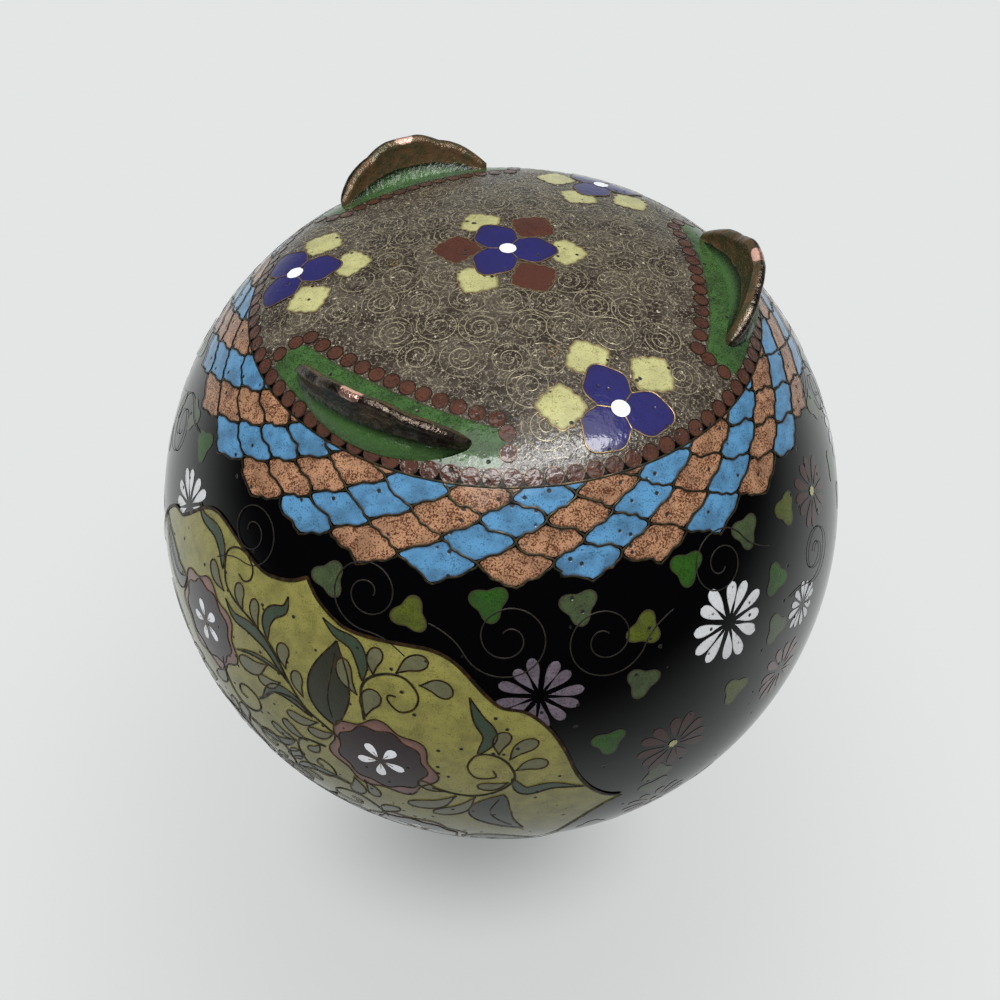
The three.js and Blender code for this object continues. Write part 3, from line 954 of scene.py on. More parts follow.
class Nodes:
    """Short calls for the few kinds of node that are used here."""

    def __init__(self, tree):
        self.tree = tree

    def link(self, value, socket):
        if isinstance(value, bpy.types.NodeSocket):
            self.tree.links.new(value, socket)
        elif value is not None:
            socket.default_value = value

    def coordinates(self):
        return self.tree.nodes.new("ShaderNodeTexCoord").outputs["Object"]

    def attribute(self, name):
        node = self.tree.nodes.new("ShaderNodeAttribute")
        node.attribute_name = name
        return node.outputs["Fac"]

    def noise(self, vector, scale, detail=2.0, roughness=0.5):
        node = self.tree.nodes.new("ShaderNodeTexNoise")
        self.link(vector, node.inputs["Vector"])
        node.inputs["Scale"].default_value = scale
        node.inputs["Detail"].default_value = detail
        node.inputs["Roughness"].default_value = roughness
        return node.outputs["Fac"]

    def cells(self, vector, scale):
        node = self.tree.nodes.new("ShaderNodeTexVoronoi")
        self.link(vector, node.inputs["Vector"])
        node.inputs["Scale"].default_value = scale
        return node.outputs["Distance"], node.outputs["Color"]

    def fit(self, value, low, high, to_low=0.0, to_high=1.0):
        """Maps low … high to to_low … to_high with a smooth step, held at both ends."""
        node = self.tree.nodes.new("ShaderNodeMapRange")
        node.interpolation_type = "SMOOTHSTEP"
        for label, number in (("From Min", low), ("From Max", high), ("To Min", to_low), ("To Max", to_high)):
            self.link(number, node.inputs[label])
        self.link(value, node.inputs["Value"])
        return node.outputs["Result"]

    def math(self, operation, a, b=None):
        node = self.tree.nodes.new("ShaderNodeMath")
        node.operation = operation
        self.link(a, node.inputs[0])
        self.link(b, node.inputs[1])
        return node.outputs[0]

    def mix(self, factor, a, b):
        node = self.tree.nodes.new("ShaderNodeMix")
        node.data_type = "RGBA"
        self.link(factor, node.inputs["Factor"])
        self.link(a, node.inputs["A"])
        self.link(b, node.inputs["B"])
        return node.outputs["Result"]

    def channel(self, colour):
        node = self.tree.nodes.new("ShaderNodeSeparateColor")
        self.link(colour, node.inputs[0])
        return node.outputs[0]


def srgb(red, green, blue):
    """A screen colour from 0 to 255 as linear light, with alpha."""
    values = np.array([red, green, blue]) / 255
    linear = np.where(values <= 0.04045, values / 12.92, ((values + 0.055) / 1.055) ** 2.4)
    return (*linear.tolist(), 1.0)


# %% Enamel group
def enamel_group():
    """Colour, roughness and height of fired enamel, from its colour and how flawed it is."""
    tree, given, out = group_tree(
        "fired_enamel",
        (
            ("Color", "NodeSocketColor", (0.5, 0.5, 0.5, 1)),
            ("Flecks", "NodeSocketColor", (0.1, 0.05, 0.03, 1)),
            ("Fleck Amount", "NodeSocketFloat", 0.3),
            ("Fleck Level", "NodeSocketFloat", 0.58),
            ("Cloud Amount", "NodeSocketFloat", 0.25),
            ("Pit Amount", "NodeSocketFloat", 0.15),
            ("Rim Amount", "NodeSocketFloat", 0.5),
        ),
        (("Color", "NodeSocketColor"), ("Roughness", "NodeSocketFloat"), ("Height", "NodeSocketFloat")),
    )
    n = Nodes(tree)
    place_on = n.coordinates()
    cloud = n.fit(n.noise(place_on, 320, 3.0), 0.35, 0.7)
    cloud = n.math("MULTIPLY", cloud, given.outputs["Cloud Amount"])
    colour = n.mix(cloud, given.outputs["Color"], (0.02, 0.02, 0.02, 1))
    grain = n.noise(place_on, 4200, 4.0, 0.65)
    patchy = n.fit(n.noise(place_on, 700, 2.0), 0.3, 0.7, -0.05, 0.05)
    level = n.math("ADD", given.outputs["Fleck Level"], patchy)
    fleck = n.fit(grain, level, n.math("ADD", level, 0.07))
    fleck = n.math("MULTIPLY", fleck, given.outputs["Fleck Amount"])
    colour = n.mix(fleck, colour, given.outputs["Flecks"])
    rim = n.fit(n.attribute("rim"), 0.8, 1.0)
    colour = n.mix(n.math("MULTIPLY", rim, given.outputs["Rim Amount"]), colour, (0.03, 0.02, 0.015, 1))
    distance, cell = n.cells(place_on, 620)
    chosen = n.math("LESS_THAN", n.channel(cell), given.outputs["Pit Amount"])
    pit = n.math("MULTIPLY", n.fit(distance, 0.13, 0.24, 1.0, 0.0), chosen)
    colour = n.mix(pit, colour, (0.008, 0.006, 0.005, 1))
    n.link(colour, out.inputs["Color"])
    rough = n.math("MULTIPLY_ADD", grain, 0.10)
    rough.node.inputs[2].default_value = 0.06
    n.link(n.math("MAXIMUM", rough, n.math("MULTIPLY", pit, 0.6)), out.inputs["Roughness"])
    height = n.math("SUBTRACT", n.math("MULTIPLY", n.noise(place_on, 130, 2.0), 0.35), pit)
    n.link(height, out.inputs["Height"])
    return tree


ENAMEL = enamel_group()


def material(name, metallic=0.0, roughness=0.3):
    """A material with one Principled shader. Returns it, its node helper and the shader."""
    mat = bpy.data.materials.new(name)
    mat.use_nodes = True
    shader = mat.node_tree.nodes["Principled BSDF"]
    shader.inputs["Metallic"].default_value = metallic
    shader.inputs["Roughness"].default_value = roughness
    return mat, Nodes(mat.node_tree), shader


def add_bump(n, shader, height, strength, distance):
    """Feeds a height into the shader's normal."""
    bump = n.tree.nodes.new("ShaderNodeBump")
    bump.inputs["Strength"].default_value = strength
    bump.inputs["Distance"].default_value = distance
    n.link(height, bump.inputs["Height"])
    n.link(bump.outputs["Normal"], shader.inputs["Normal"])


def enamel(name, colour, flecks, amount, level, cloud, pits, rim, ripple=0.15):
    """One enamel colour. Colours are screen values from 0 to 255. Amount and level are those of the
    flecks, and ripple makes the surface uneven."""
    mat, n, shader = material(name)
    node = mat.node_tree.nodes.new("ShaderNodeGroup")
    node.node_tree = ENAMEL
    node.inputs["Color"].default_value = srgb(*colour)
    node.inputs["Flecks"].default_value = srgb(*flecks)
    for label, value in (("Fleck Amount", amount), ("Fleck Level", level), ("Cloud Amount", cloud),
                         ("Pit Amount", pits), ("Rim Amount", rim)):
        node.inputs[label].default_value = value
    n.link(node.outputs["Color"], shader.inputs["Base Color"])
    n.link(node.outputs["Roughness"], shader.inputs["Roughness"])
    uneven = n.math("MULTIPLY", n.noise(n.coordinates(), 950, 2.0), ripple)
    add_bump(n, shader, n.math("ADD", node.outputs["Height"], uneven), 0.6, 0.00014)
    return mat


# %% [markdown]
# The taupe ground looks like fine worms of lighter enamel. They are the places where a noise is near
# its middle value, so the lines are the noise's own contour lines.


# %% Ground, metal and wire materials
def taupe_material(name):
    """Contour lines of a noise, light on taupe, with darker and paler patches."""
    mat, n, shader = material(name, roughness=0.3)
    place_on = n.coordinates()
    worms = n.noise(place_on, 1250, 2.0, 0.5)
    line = n.fit(n.math("ABSOLUTE", n.math("SUBTRACT", worms, 0.5)), 0.006, 0.03, 1.0, 0.0)
    patch = n.noise(place_on, 260, 3.0, 0.6)
    base = n.mix(n.fit(patch, 0.35, 0.68), srgb(46, 40, 35), srgb(76, 70, 61))
    colour = n.mix(n.math("MULTIPLY", line, 0.66), base, srgb(148, 140, 120))
    grain = n.noise(place_on, 3200, 2.0, 0.6)
    colour = n.mix(n.fit(grain, 0.56, 0.68, 0.0, 0.85), colour, srgb(38, 30, 24))
    light = n.noise(place_on, 1500, 2.0, 0.6)
    colour = n.mix(n.fit(light, 0.66, 0.73, 0.0, 0.85), colour, srgb(186, 178, 154))
    n.link(colour, shader.inputs["Base Color"])
    n.link(n.fit(grain, 0.4, 0.7, 0.12, 0.36), shader.inputs["Roughness"])
    add_bump(n, shader, worms, 0.5, 0.00025)
    return mat


def metal(name, bright, dull, dull_level=0.5, roughness=(0.28, 0.5), scale=600, metallic=1.0):
    """Tarnished metal: a bright and a dull colour, mixed by noise."""
    mat, n, shader = material(name, metallic=metallic)
    cloud = n.noise(n.coordinates(), scale, 4.0, 0.6)
    mask = n.fit(cloud, dull_level - 0.15, dull_level + 0.15)
    n.link(n.mix(mask, srgb(*bright), srgb(*dull)), shader.inputs["Base Color"])
    n.link(n.fit(mask, 0.0, 1.0, *roughness), shader.inputs["Roughness"])
    return mat


black_enamel = enamel("black_enamel", (3, 3, 4), (60, 62, 64), 0.35, 0.72, 0.0, 0.04, 0.0, 0.0)
inner_enamel = enamel("inner_enamel", (46, 92, 104), (20, 40, 60), 0.4, 0.55, 0.3, 0.10, 0.0)
lip_metal = metal("lip_metal", (196, 160, 108), (120, 88, 58))
knob_gilt = metal("knob_gilt", (196, 152, 88), (110, 78, 46), 0.5, (0.25, 0.45), 300)
gold_wire = metal("gold_wire", (150, 126, 88), (104, 84, 58), 0.5, (0.3, 0.45), 900, 0.6)
scroll_wire = metal("scroll_wire", (160, 152, 124), (84, 78, 62), 0.52, (0.25, 0.4), 500, 0.35)
dot_wire = metal("dot_wire", (84, 64, 50), (46, 34, 28), 0.5, (0.2, 0.35), 900, 0.7)
dark_wire = metal("dark_wire", (74, 62, 36), (30, 30, 20), 0.45, (0.3, 0.5), 900, 0.6)
panel_wire = metal("panel_wire", (84, 62, 34), (40, 30, 20), 0.45, (0.3, 0.5), 900, 0.6)
black_scroll_wire = metal("black_scroll_wire", (58, 54, 48), (38, 34, 30), 0.5, (0.35, 0.5), 900, 0.5)
taupe = taupe_material("taupe_ground")

# %% [markdown]
# ## Building the meshes
#
# Each layer becomes one object that rides on the jar's body and carries its own material.


# %% Mesh builder
def build(name, points, faces, mat, body="root", attributes=None, face_materials=None):
    """One smooth-shaded object from arrays of points (metres) and triangles."""
    mesh = bpy.data.meshes.new(name)
    mesh.vertices.add(len(points))
    mesh.vertices.foreach_set("co", np.ascontiguousarray(points, np.float32).ravel())
    mesh.loops.add(faces.size)
    mesh.loops.foreach_set("vertex_index", np.ascontiguousarray(faces, np.int32).ravel())
    mesh.polygons.add(len(faces))
    mesh.polygons.foreach_set("loop_start", np.arange(0, faces.size, 3, dtype=np.int32))
    mesh.update(calc_edges=True)
    mesh.polygons.foreach_set("use_smooth", np.ones(len(faces), bool))
    for label, values in (attributes or {}).items():
        layer = mesh.attributes.new(label, "FLOAT", "POINT")
        layer.data.foreach_set("value", np.ascontiguousarray(values, np.float32))
    for one in mat if isinstance(mat, tuple) else (mat,):
        mesh.materials.append(one)
    if face_materials is not None:
        mesh.polygons.foreach_set("material_index", np.ascontiguousarray(face_materials, np.int32))
    mesh.validate()
    piece = bpy.data.objects.new(name, mesh)
    bpy.context.scene.collection.objects.link(piece)
    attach(piece, body)
    return piece


def build_layer(name, layer, mat):
    """A layer as one object, with its rim attribute."""
    points, faces = np.concatenate(layer.points), np.concatenate(layer.faces)
    return build(name, points, faces, mat, attributes={"rim": np.concatenate(layer.rims)})


# %% Cell meshes
# object, layer, enamel, its colour, its flecks, and its flaws: amount and level of flecks, cloud,
# pits, dark rim and, where it is not the usual one, ripple
CELLS = (
    ("sky_tile_cells", sky_tiles, "sky_enamel",
     (82, 132, 170), (44, 76, 98), (0.7, 0.54, 0.45, 0.35, 0.8)),
    ("salmon_tile_cells", salmon_tiles, "salmon_enamel",
     (164, 124, 95), (74, 42, 27), (0.95, 0.485, 0.4, 0.35, 0.8)),
    ("white_petal_cells", white_petals, "white_enamel",
     (198, 200, 202), (104, 106, 104), (0.6, 0.59, 0.1, 0.35, 0.5, 0.4)),
    ("lilac_petal_cells", lilac_petals, "lilac_enamel",
     (104, 94, 104), (58, 50, 58), (0.7, 0.51, 0.4, 0.3, 0.6, 0.4)),
    ("pink_petal_cells", pink_petals, "pink_enamel",
     (112, 90, 88), (70, 48, 46), (0.5, 0.52, 0.3, 0.15, 0.4)),
    ("brown_petal_cells", brown_petals, "brown_enamel",
     (56, 30, 25), (30, 14, 10), (0.5, 0.55, 0.3, 0.1, 0.4)),
    ("green_leaf_cells", leaf_green, "green_enamel",
     (42, 78, 26), (24, 44, 16), (0.6, 0.50, 0.35, 0.2, 0.8)),
    ("olive_leaf_cells", leaf_olive, "olive_enamel",
     (78, 86, 32), (46, 52, 20), (0.6, 0.50, 0.35, 0.2, 0.8)),
    ("grey_leaf_cells", leaf_grey, "grey_green_enamel",
     (66, 78, 52), (40, 46, 32), (0.6, 0.50, 0.35, 0.2, 0.8)),
    ("mustard_panel_cells", mustard_panels, "mustard_enamel",
     (132, 128, 70), (84, 76, 36), (0.6, 0.54, 0.32, 0.3, 0.0)),
    ("apron_cells", apron_green, "apron_enamel",
     (62, 92, 50), (30, 48, 24), (0.8, 0.49, 0.45, 0.2, 0.6, 0.9)),
    ("yellow_petal_cells", yellow_petals, "yellow_enamel",
     (172, 170, 120), (112, 104, 56), (0.7, 0.55, 0.2, 0.6, 0.6, 0.6)),
    ("rust_petal_cells", rust_petals, "rust_enamel",
     (80, 50, 42), (50, 28, 22), (0.5, 0.53, 0.2, 0.05, 0.2)),
    ("dot_cells", maroon_dots, "maroon_enamel",
     (80, 52, 42), (42, 26, 20), (0.7, 0.52, 0.35, 0.35, 0.6, 1.8)),
    ("cobalt_petal_cells", cobalt_petals, "cobalt_enamel",
     (43, 42, 92), (26, 22, 62), (0.4, 0.55, 0.15, 0.2, 0.3, 0.5)),
    ("spray_drop_cells", spray_drops, "spray_grey_enamel",
     (96, 96, 72), (56, 56, 40), (0.5, 0.55, 0.2, 0.1, 0.5)),
    ("spray_blade_cells", spray_blades, "spray_green_enamel",
     (56, 68, 54), (34, 42, 32), (0.5, 0.55, 0.2, 0.1, 0.5)),
    ("spray_leaf_cells", spray_leaves, "spray_dark_enamel",
     (46, 48, 38), (26, 30, 22), (0.5, 0.55, 0.2, 0.1, 0.5)),
    ("rose_lobe_cells", rose_lobes, "rose_enamel",
     (120, 88, 80), (78, 52, 46), (0.5, 0.55, 0.2, 0.1, 0.4)),
    ("plum_lobe_cells", plum_lobes, "plum_enamel",
     (44, 32, 34), (26, 20, 28), (0.5, 0.55, 0.3, 0.1, 0.3)),
    ("white_heart_cells", white_hearts, "heart_enamel",
     (222, 224, 228), (160, 156, 150), (0.3, 0.62, 0.0, 0.03, 0.0)),
)
enamels = {}
build_layer("taupe_cells", taupe_ground, taupe)
for name, layer, finish, colour, flecks, flaws in CELLS:
    enamels[finish] = enamel(finish, colour, flecks, *flaws)
    build_layer(name, layer, enamels[finish])
for name, layer, mat in (
    ("gold_wires", gold_wires, gold_wire),
    ("low_gold_wires", low_wires, gold_wire),
    ("dot_wires", dot_wires, dot_wire),
    ("ground_scroll_wires", ground_scrolls, scroll_wire),
    ("tile_wires", tile_wires, dark_wire),
    ("panel_wires", panel_wires, panel_wire),
    ("black_scroll_wires", black_scrolls, black_scroll_wire),
):
    build_layer(name, layer, mat)
for name, layer, mat in (
    ("lid_taupe_cells", lid_ground, taupe),
    ("lid_scroll_wires", lid_scrolls, scroll_wire),
    ("lid_dot_cells", lid_dots, enamels["maroon_enamel"]),
    ("lid_dot_wires", lid_dot_wires, dot_wire),
    ("lid_yellow_cells", lid_yellow, enamels["yellow_enamel"]),
    ("lid_cobalt_cells", lid_cobalt, enamels["cobalt_enamel"]),
    ("lid_heart_cells", lid_hearts, enamels["heart_enamel"]),
    ("lid_gold_wires", lid_wires, gold_wire),
):
    build_layer(name, layer, mat)

# %% [markdown]
# ## Body, lid and knob
#
# All three are turned shapes: an outline of radius and height, carried round the axis. The body's
# outline runs up the outside, across the metal lip, down the mouth and back along the inside.


# %% Turned shapes
def turned(outline, sides):
    """Points of an outline (radius, height in millimetres) turned round the axis, outward faces."""
    outline = np.asarray(outline, float)
    theta = np.arange(sides) * 2 * np.pi / sides
    x = outline[:, :1] * np.cos(theta)
    y = outline[:, :1] * np.sin(theta)
    z = np.broadcast_to(outline[:, 1:], x.shape)
    points = np.stack([x, y, z], -1).reshape(-1, 3) * MM
    return points, grid_faces(len(outline), sides, wrap=True)


def arc(radius, low, high, steps, centre=CENTRE_HEIGHT):
    """Arc about a point of the axis, from one polar angle to another."""
    a = np.radians(np.linspace(low, high, steps))
    return np.stack([radius * np.sin(a), centre - radius * np.cos(a)], -1)


def split_line(points, count):
    """Straight lines through the points, each split in steps."""
    points = np.asarray(points, float)
    t = np.linspace(0, len(points) - 1, (len(points) - 1) * count + 1)
    return np.stack([np.interp(t, np.arange(len(points)), points[:, k]) for k in (0, 1)], -1)


def turn_piece(name, runs, mats, sides, node):
    """A turned piece from runs of (outline, material index), one after the other."""
    outline = np.concatenate([run for run, _ in runs])
    points, faces = turned(outline, sides)
    row_material = np.concatenate([np.full(len(run), index) for run, index in runs])[:-1]
    index = np.repeat(row_material, 2 * sides)
    kept = has_area(points, faces, 1e-13)
    piece = build(name, points, faces[kept], mats, face_materials=index[kept])
    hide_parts(node)
    return piece


globe_end = 180 - math.degrees(math.asin(LIP_OUTER_RADIUS / BODY_RADIUS)) - 1.3
polar_rows = np.concatenate([
    np.linspace(0, DOME_END, 26)[:-1],
    np.linspace(DOME_END, GLOBE_START, 13)[:-1],
    np.linspace(GLOBE_START, globe_end, 84),
])
outer = skin(0.0, polar_rows) / MM
outer = np.stack([outer[:, 0], outer[:, 2]], -1)
lip_height = CENTRE_HEIGHT + math.sqrt(BODY_RADIUS**2 - LIP_OUTER_RADIUS**2)
lip_edge = LIP_OUTER_RADIUS - 0.3
roll = np.radians(np.linspace(-30, 90, 9))
lip_roll = np.stack([lip_edge - 0.55 + 0.75 * np.cos(roll), lip_height - 0.8 + 0.75 * np.sin(roll)], -1)
inner_start = math.degrees(math.acos((lip_height - LIP_DEPTH - CENTRE_HEIGHT) / (BODY_RADIUS - BODY_WALL)))
inner_globe = arc(BODY_RADIUS - BODY_WALL, 180 - inner_start, GLOBE_START, 60)
dome_half = math.degrees(math.atan2(SHOULDER_CENTRE[0], SHOULDER_DROP + DOME_CENTRE[1]))
inner_turn = np.radians(np.linspace(GLOBE_START, dome_half, 10))
inner_shoulder = np.stack([
    SHOULDER_CENTRE[0] + (SHOULDER_RADIUS - BODY_WALL) * np.sin(inner_turn),
    CENTRE_HEIGHT - SHOULDER_DROP - (SHOULDER_RADIUS - BODY_WALL) * np.cos(inner_turn),
], -1)
inner_dome = arc(UNDERSIDE_CURVE_RADIUS - BODY_WALL, dome_half, 0, 16, CENTRE_HEIGHT + DOME_CENTRE[1])
mouth = split_line([
    (MOUTH_RADIUS + 0.4, lip_height - 0.05),
    (MOUTH_RADIUS, lip_height - 0.45),
    (MOUTH_RADIUS, lip_height - LIP_DEPTH),
], 3)
body = turn_piece(
    "body_enamel_shell",
    [(outer, 0), (lip_roll, 1), (mouth, 1), (inner_globe, 2), (inner_shoulder, 2), (inner_dome, 2)],
    (black_enamel, lip_metal, inner_enamel), 240, "vessel_body",
)

LID_GAP = 0.3
LID_WALL = 1.8
RING_DEPTH = 4.5
RING_BEVEL = 0.3
seat = lip_height + LID_GAP
lid_edge = math.sqrt(BODY_RADIUS**2 - (seat - CENTRE_HEIGHT) ** 2)
ring_outer, ring_inner = MOUTH_RADIUS - 0.5, MOUTH_RADIUS - 2.0
ring_foot = seat - RING_DEPTH
under_angle = math.degrees(math.asin(ring_inner / (BODY_RADIUS - LID_WALL)))
crown_angle = math.degrees(math.asin((lid_edge - 0.9) / (BODY_RADIUS - SKIN_INSET)))
ring = split_line([
    (ring_inner, ring_foot + RING_BEVEL),
    (ring_inner + RING_BEVEL, ring_foot),
    (ring_outer - RING_BEVEL, ring_foot),
    (ring_outer, ring_foot + RING_BEVEL),
    (ring_outer, seat),
    (lid_edge - 0.5, seat),
    (lid_edge - 0.2, seat + 0.35),
], 3)
lid = turn_piece(
    "lid_enamel_shell",
    [
        (arc(BODY_RADIUS - LID_WALL, 180, 180 - under_angle, 24), 2),
        (ring, 1),
        (arc(BODY_RADIUS - SKIN_INSET, 180 - crown_angle, 180, 44), 0),
    ],
    (black_enamel, lip_metal, inner_enamel), 180, "lid",
)

# the knob's radii, and heights above the crown of the lid
KNOB_RADIUS = 6.3
KNOB_NECK_RADIUS = 3.1
KNOB_TIP_RADIUS = 1.1
KNOB_FLANGE_RADIUS = 5.6
KNOB_BUD_START = 3.4
KNOB_BUD_HEIGHT = 9.2
KNOB_COLLAR = ((5.55, 0.4), (5.5, 0.95), (5.0, 1.35), (3.7, 1.75), (3.1, 2.5), (3.15, 3.3))
KNOB_TIP = ((1.0, 12.75), (0.6, 13.05), (0.0, 13.12))
crown = CENTRE_HEIGHT + BODY_RADIUS
share = np.linspace(0, 1, 34)
ends = KNOB_NECK_RADIUS + (KNOB_TIP_RADIUS - KNOB_NECK_RADIUS) * share
swell = ends + (KNOB_RADIUS - ends) * np.sin(np.pi * share) ** 0.8
bud = np.stack([swell, crown + KNOB_BUD_START + KNOB_BUD_HEIGHT * share], -1)
flange_angle = math.degrees(math.asin(KNOB_FLANGE_RADIUS / (BODY_RADIUS + 0.1)))
flange = arc(BODY_RADIUS + 0.1, 180, 180 - flange_angle, 6)
knob = turn_piece(
    "gilt_knob",
    [
        (flange, 0),
        (curve(KNOB_COLLAR, 24) + (0, crown), 0),
        (bud, 0),
        (curve(KNOB_TIP, 6) + (0, crown), 0),
    ],
    (knob_gilt,), 96, "lid_knob",
)
print("body, lid and knob:", [len(o.data.polygons) for o in (body, lid, knob)])

# %% [markdown]
# ## The feet
#
# Each foot is a strip of copper, bent to an arc and soldered upright, with a scalloped lower edge that
# is rolled thicker. Its section is carried along the arc: down the outer face, round the rolled edge
# and up the inner face. The ends close where the thickness goes to nothing. Two numbers at each point
# say where the metal is rubbed bare and where green enamel has crept up from the apron. The second
# number also sets a painted shade that darkens that green away from the root.

# %% Feet
FOOT_HALF_ANGLE = 23.5
FOOT_ROOT_RADIUS = 37.2
FOOT_END_DRAW = 1.2
FOOT_LEAN = 1.4
FOOT_EDGE_HALF = 0.72
FOOT_ROOT_HALF = 1.15
FOOT_PAD_SHARE = 0.17
FOOT_END_HEIGHT = 0.7
FOOT_SCALLOP = 0.5
FOOT_SCALLOP_WAVES = 1.5
FOOT_ROOT_INSET = 1.1
FOOT_FACE_STEPS = 16
FOOT_ROLL_STEPS = 9
# 1 on the outer face and −1 on the inner one, and 0 where the edge is rolled
FOOT_SIDES = np.repeat([1.0, 0.0, -1.0], [FOOT_FACE_STEPS, FOOT_ROLL_STEPS, FOOT_FACE_STEPS])
ROOT_HEIGHT = UNDERSIDE_CLEARANCE + FOOT_ROOT_RADIUS**2 / (2 * UNDERSIDE_CURVE_RADIUS)


def foot_edge(share):
    """Height of the lower edge: a pad in the middle, then scallops that rise to the ends."""
    past = np.clip(np.abs(share) - FOOT_PAD_SHARE, 0, None) / (1 - FOOT_PAD_SHARE)
    rise = ROOT_HEIGHT - FOOT_END_HEIGHT - FOOT_SCALLOP
    return rise * past**1.5 + FOOT_SCALLOP * (1 - np.abs(np.cos(FOOT_SCALLOP_WAVES * np.pi * past)))


def foot_grid(seed):
    """Points of a foot centred on +X, with its bare number and its number for crept enamel and painted shade.
    """
    noise = np.random.default_rng(seed)
    share = np.linspace(-1, 1, 121)
    edge = foot_edge(share)
    edge = edge + 0.10 * np.interp(share, np.linspace(-1, 1, 25), noise.uniform(0, 1, 25))
    levels = np.linspace(1, 0, FOOT_FACE_STEPS)
    turn = np.linspace(0, np.pi, FOOT_ROLL_STEPS + 2)[1:-1]
    top = ROOT_HEIGHT + 0.6
    roll = np.minimum(FOOT_EDGE_HALF, 0.45 * (top - edge))[:, None]
    face_height = edge[:, None] + roll + levels[None, :] * (top - edge[:, None] - roll)
    roll_height = edge[:, None] + roll * (1 - np.sin(turn))[None, :]
    height = np.concatenate([face_height, roll_height, face_height[:, ::-1]], axis=1)
    side = np.concatenate([np.ones(FOOT_FACE_STEPS), np.cos(turn), -np.ones(FOOT_FACE_STEPS)])[None, :]
    up = np.clip(height / ROOT_HEIGHT, 0, 1)
    above_edge = height - edge[:, None]
    bead = 0.16 * np.exp(-((above_edge - 0.8) / 0.7) ** 2)
    # enamel has crept up the plate, higher in the middle and higher on the outer face
    crept_reach = np.where(side > 0, 2.0, 2.3) * (1.04 - share[:, None] ** 2)
    near_root = np.clip(1 - (ROOT_HEIGHT - height) / crept_reach, 0, 1)
    fillet = 1.5 * (1.04 - share[:, None] ** 2) * near_root**2
    half = FOOT_EDGE_HALF + (FOOT_ROOT_HALF - FOOT_EDGE_HALF) * up + bead + fillet
    closing = np.sqrt(1 - share**8)[:, None]
    wobble = 0.12 * np.interp(share, np.linspace(-1, 1, 9), noise.uniform(-1, 1, 9))[:, None]
    middle = FOOT_ROOT_RADIUS - FOOT_END_DRAW * share[:, None] ** 2 + (FOOT_LEAN + wobble) * (1 - up)
    radius = middle + half * side * closing
    # the root follows the underside, so that no point stands clear of it or far inside it
    inside = UNDERSIDE_CURVE_RADIUS - FOOT_ROOT_INSET
    ceiling = UNDERSIDE_CLEARANCE + UNDERSIDE_CURVE_RADIUS - np.sqrt(inside**2 - radius**2)
    height = np.where(up >= 1, np.minimum(ceiling, height + 2), height)
    azimuth = np.radians(FOOT_HALF_ANGLE * share)[:, None] * np.ones_like(height)
    points = np.stack([radius * np.cos(azimuth), radius * np.sin(azimuth), height], -1)
    rub = np.clip(1.35 - np.abs(share[:, None] - 0.02) / 0.14, 0, 1)
    rub = rub + 0.3 * np.clip(1 - np.abs(np.abs(share[:, None]) - 0.60) / 0.08, 0, 1)
    bare = np.clip(rub, 0, 1) * np.clip(1.3 - above_edge / 1.0, 0, 1)
    # this number also carries painted shade: the material draws the green darker where the number is low,
    # away from the root
    crept_and_shade = np.clip((height - ROOT_HEIGHT + crept_reach) / 0.8, 0, 2.5)
    inner_face = np.broadcast_to(side < 0, height.shape) * 1.0
    return points, bare, crept_and_shade, inner_face


def foot_material():
    """Patinated copper, browner and rustier on its inner face, bare where it is rubbed, and green
    where enamel has crept up it, the green darkened by painted shade away from the root."""
    mat, n, shader = material("foot_copper_metal", metallic=0.85, roughness=0.4)
    place_on = n.coordinates()
    patina = n.noise(place_on, 420, 4.0, 0.65)
    fine = n.noise(place_on, 1700, 3.0, 0.6)
    dark = n.mix(n.fit(patina, 0.40, 0.66), srgb(62, 54, 47), srgb(112, 100, 88))
    rust = n.mix(n.fit(patina, 0.40, 0.62), srgb(102, 78, 52), srgb(64, 62, 36))
    colour = n.mix(n.math("MULTIPLY", n.attribute("inner_face"), 0.85), dark, rust)
    worn = n.fit(n.math("ADD", n.attribute("bare"), n.math("MULTIPLY", fine, 0.35)), 0.72, 0.88)
    colour = n.mix(worn, colour, srgb(226, 178, 160))
    crept_and_shade = n.fit(n.math("ADD", n.attribute("crept_and_shade"), n.math("MULTIPLY", patina, 0.8)), 0.75, 0.95)
    # painted shade: the crept green is darker where it reaches least far up the plate, away from the root
    green = n.mix(n.fit(n.attribute("crept_and_shade"), 0.6, 2.4), srgb(16, 28, 10), srgb(60, 90, 48))
    colour = n.mix(crept_and_shade, colour, green)
    n.link(colour, shader.inputs["Base Color"])
    uncovered = n.fit(crept_and_shade, 0.0, 1.0, 1.0, 0.0)
    shiny = n.fit(n.attribute("inner_face"), 0.0, 1.0, 0.9, 0.35)
    n.link(n.math("MULTIPLY", uncovered, shiny), shader.inputs["Metallic"])
    n.link(n.fit(fine, 0.35, 0.65, 0.12, 0.36), shader.inputs["Roughness"])
    add_bump(n, shader, n.math("ADD", patina, n.math("MULTIPLY", fine, 0.4)), 0.8, 0.0005)
    return mat


copper = foot_material()
for number, azimuth in enumerate(FOOT_AZIMUTHS, start=1):
    points, bare, crept_and_shade, inner_face = foot_grid(number)
    turn = np.radians(azimuth)
    spin = np.array([[math.cos(turn), math.sin(turn), 0], [-math.sin(turn), math.cos(turn), 0], [0, 0, 1]])
    flat = points.reshape(-1, 3) @ spin * MM
    faces = grid_faces(points.shape[0], points.shape[1])
    outward = flat * (1, 1, 0) * np.tile(FOOT_SIDES, points.shape[0])[:, None]
    faces = drop_slivers(flat, face_outwards(flat, faces, outward))
    piece = build(
        f"bracket_foot_{number}", flat, faces, copper,
        attributes={"bare": bare.ravel(), "crept_and_shade": crept_and_shade.ravel(), "inner_face": inner_face.ravel()},
    )
    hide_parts(f"foot_{number}")
print("feet:", len(FOOT_AZIMUTHS))

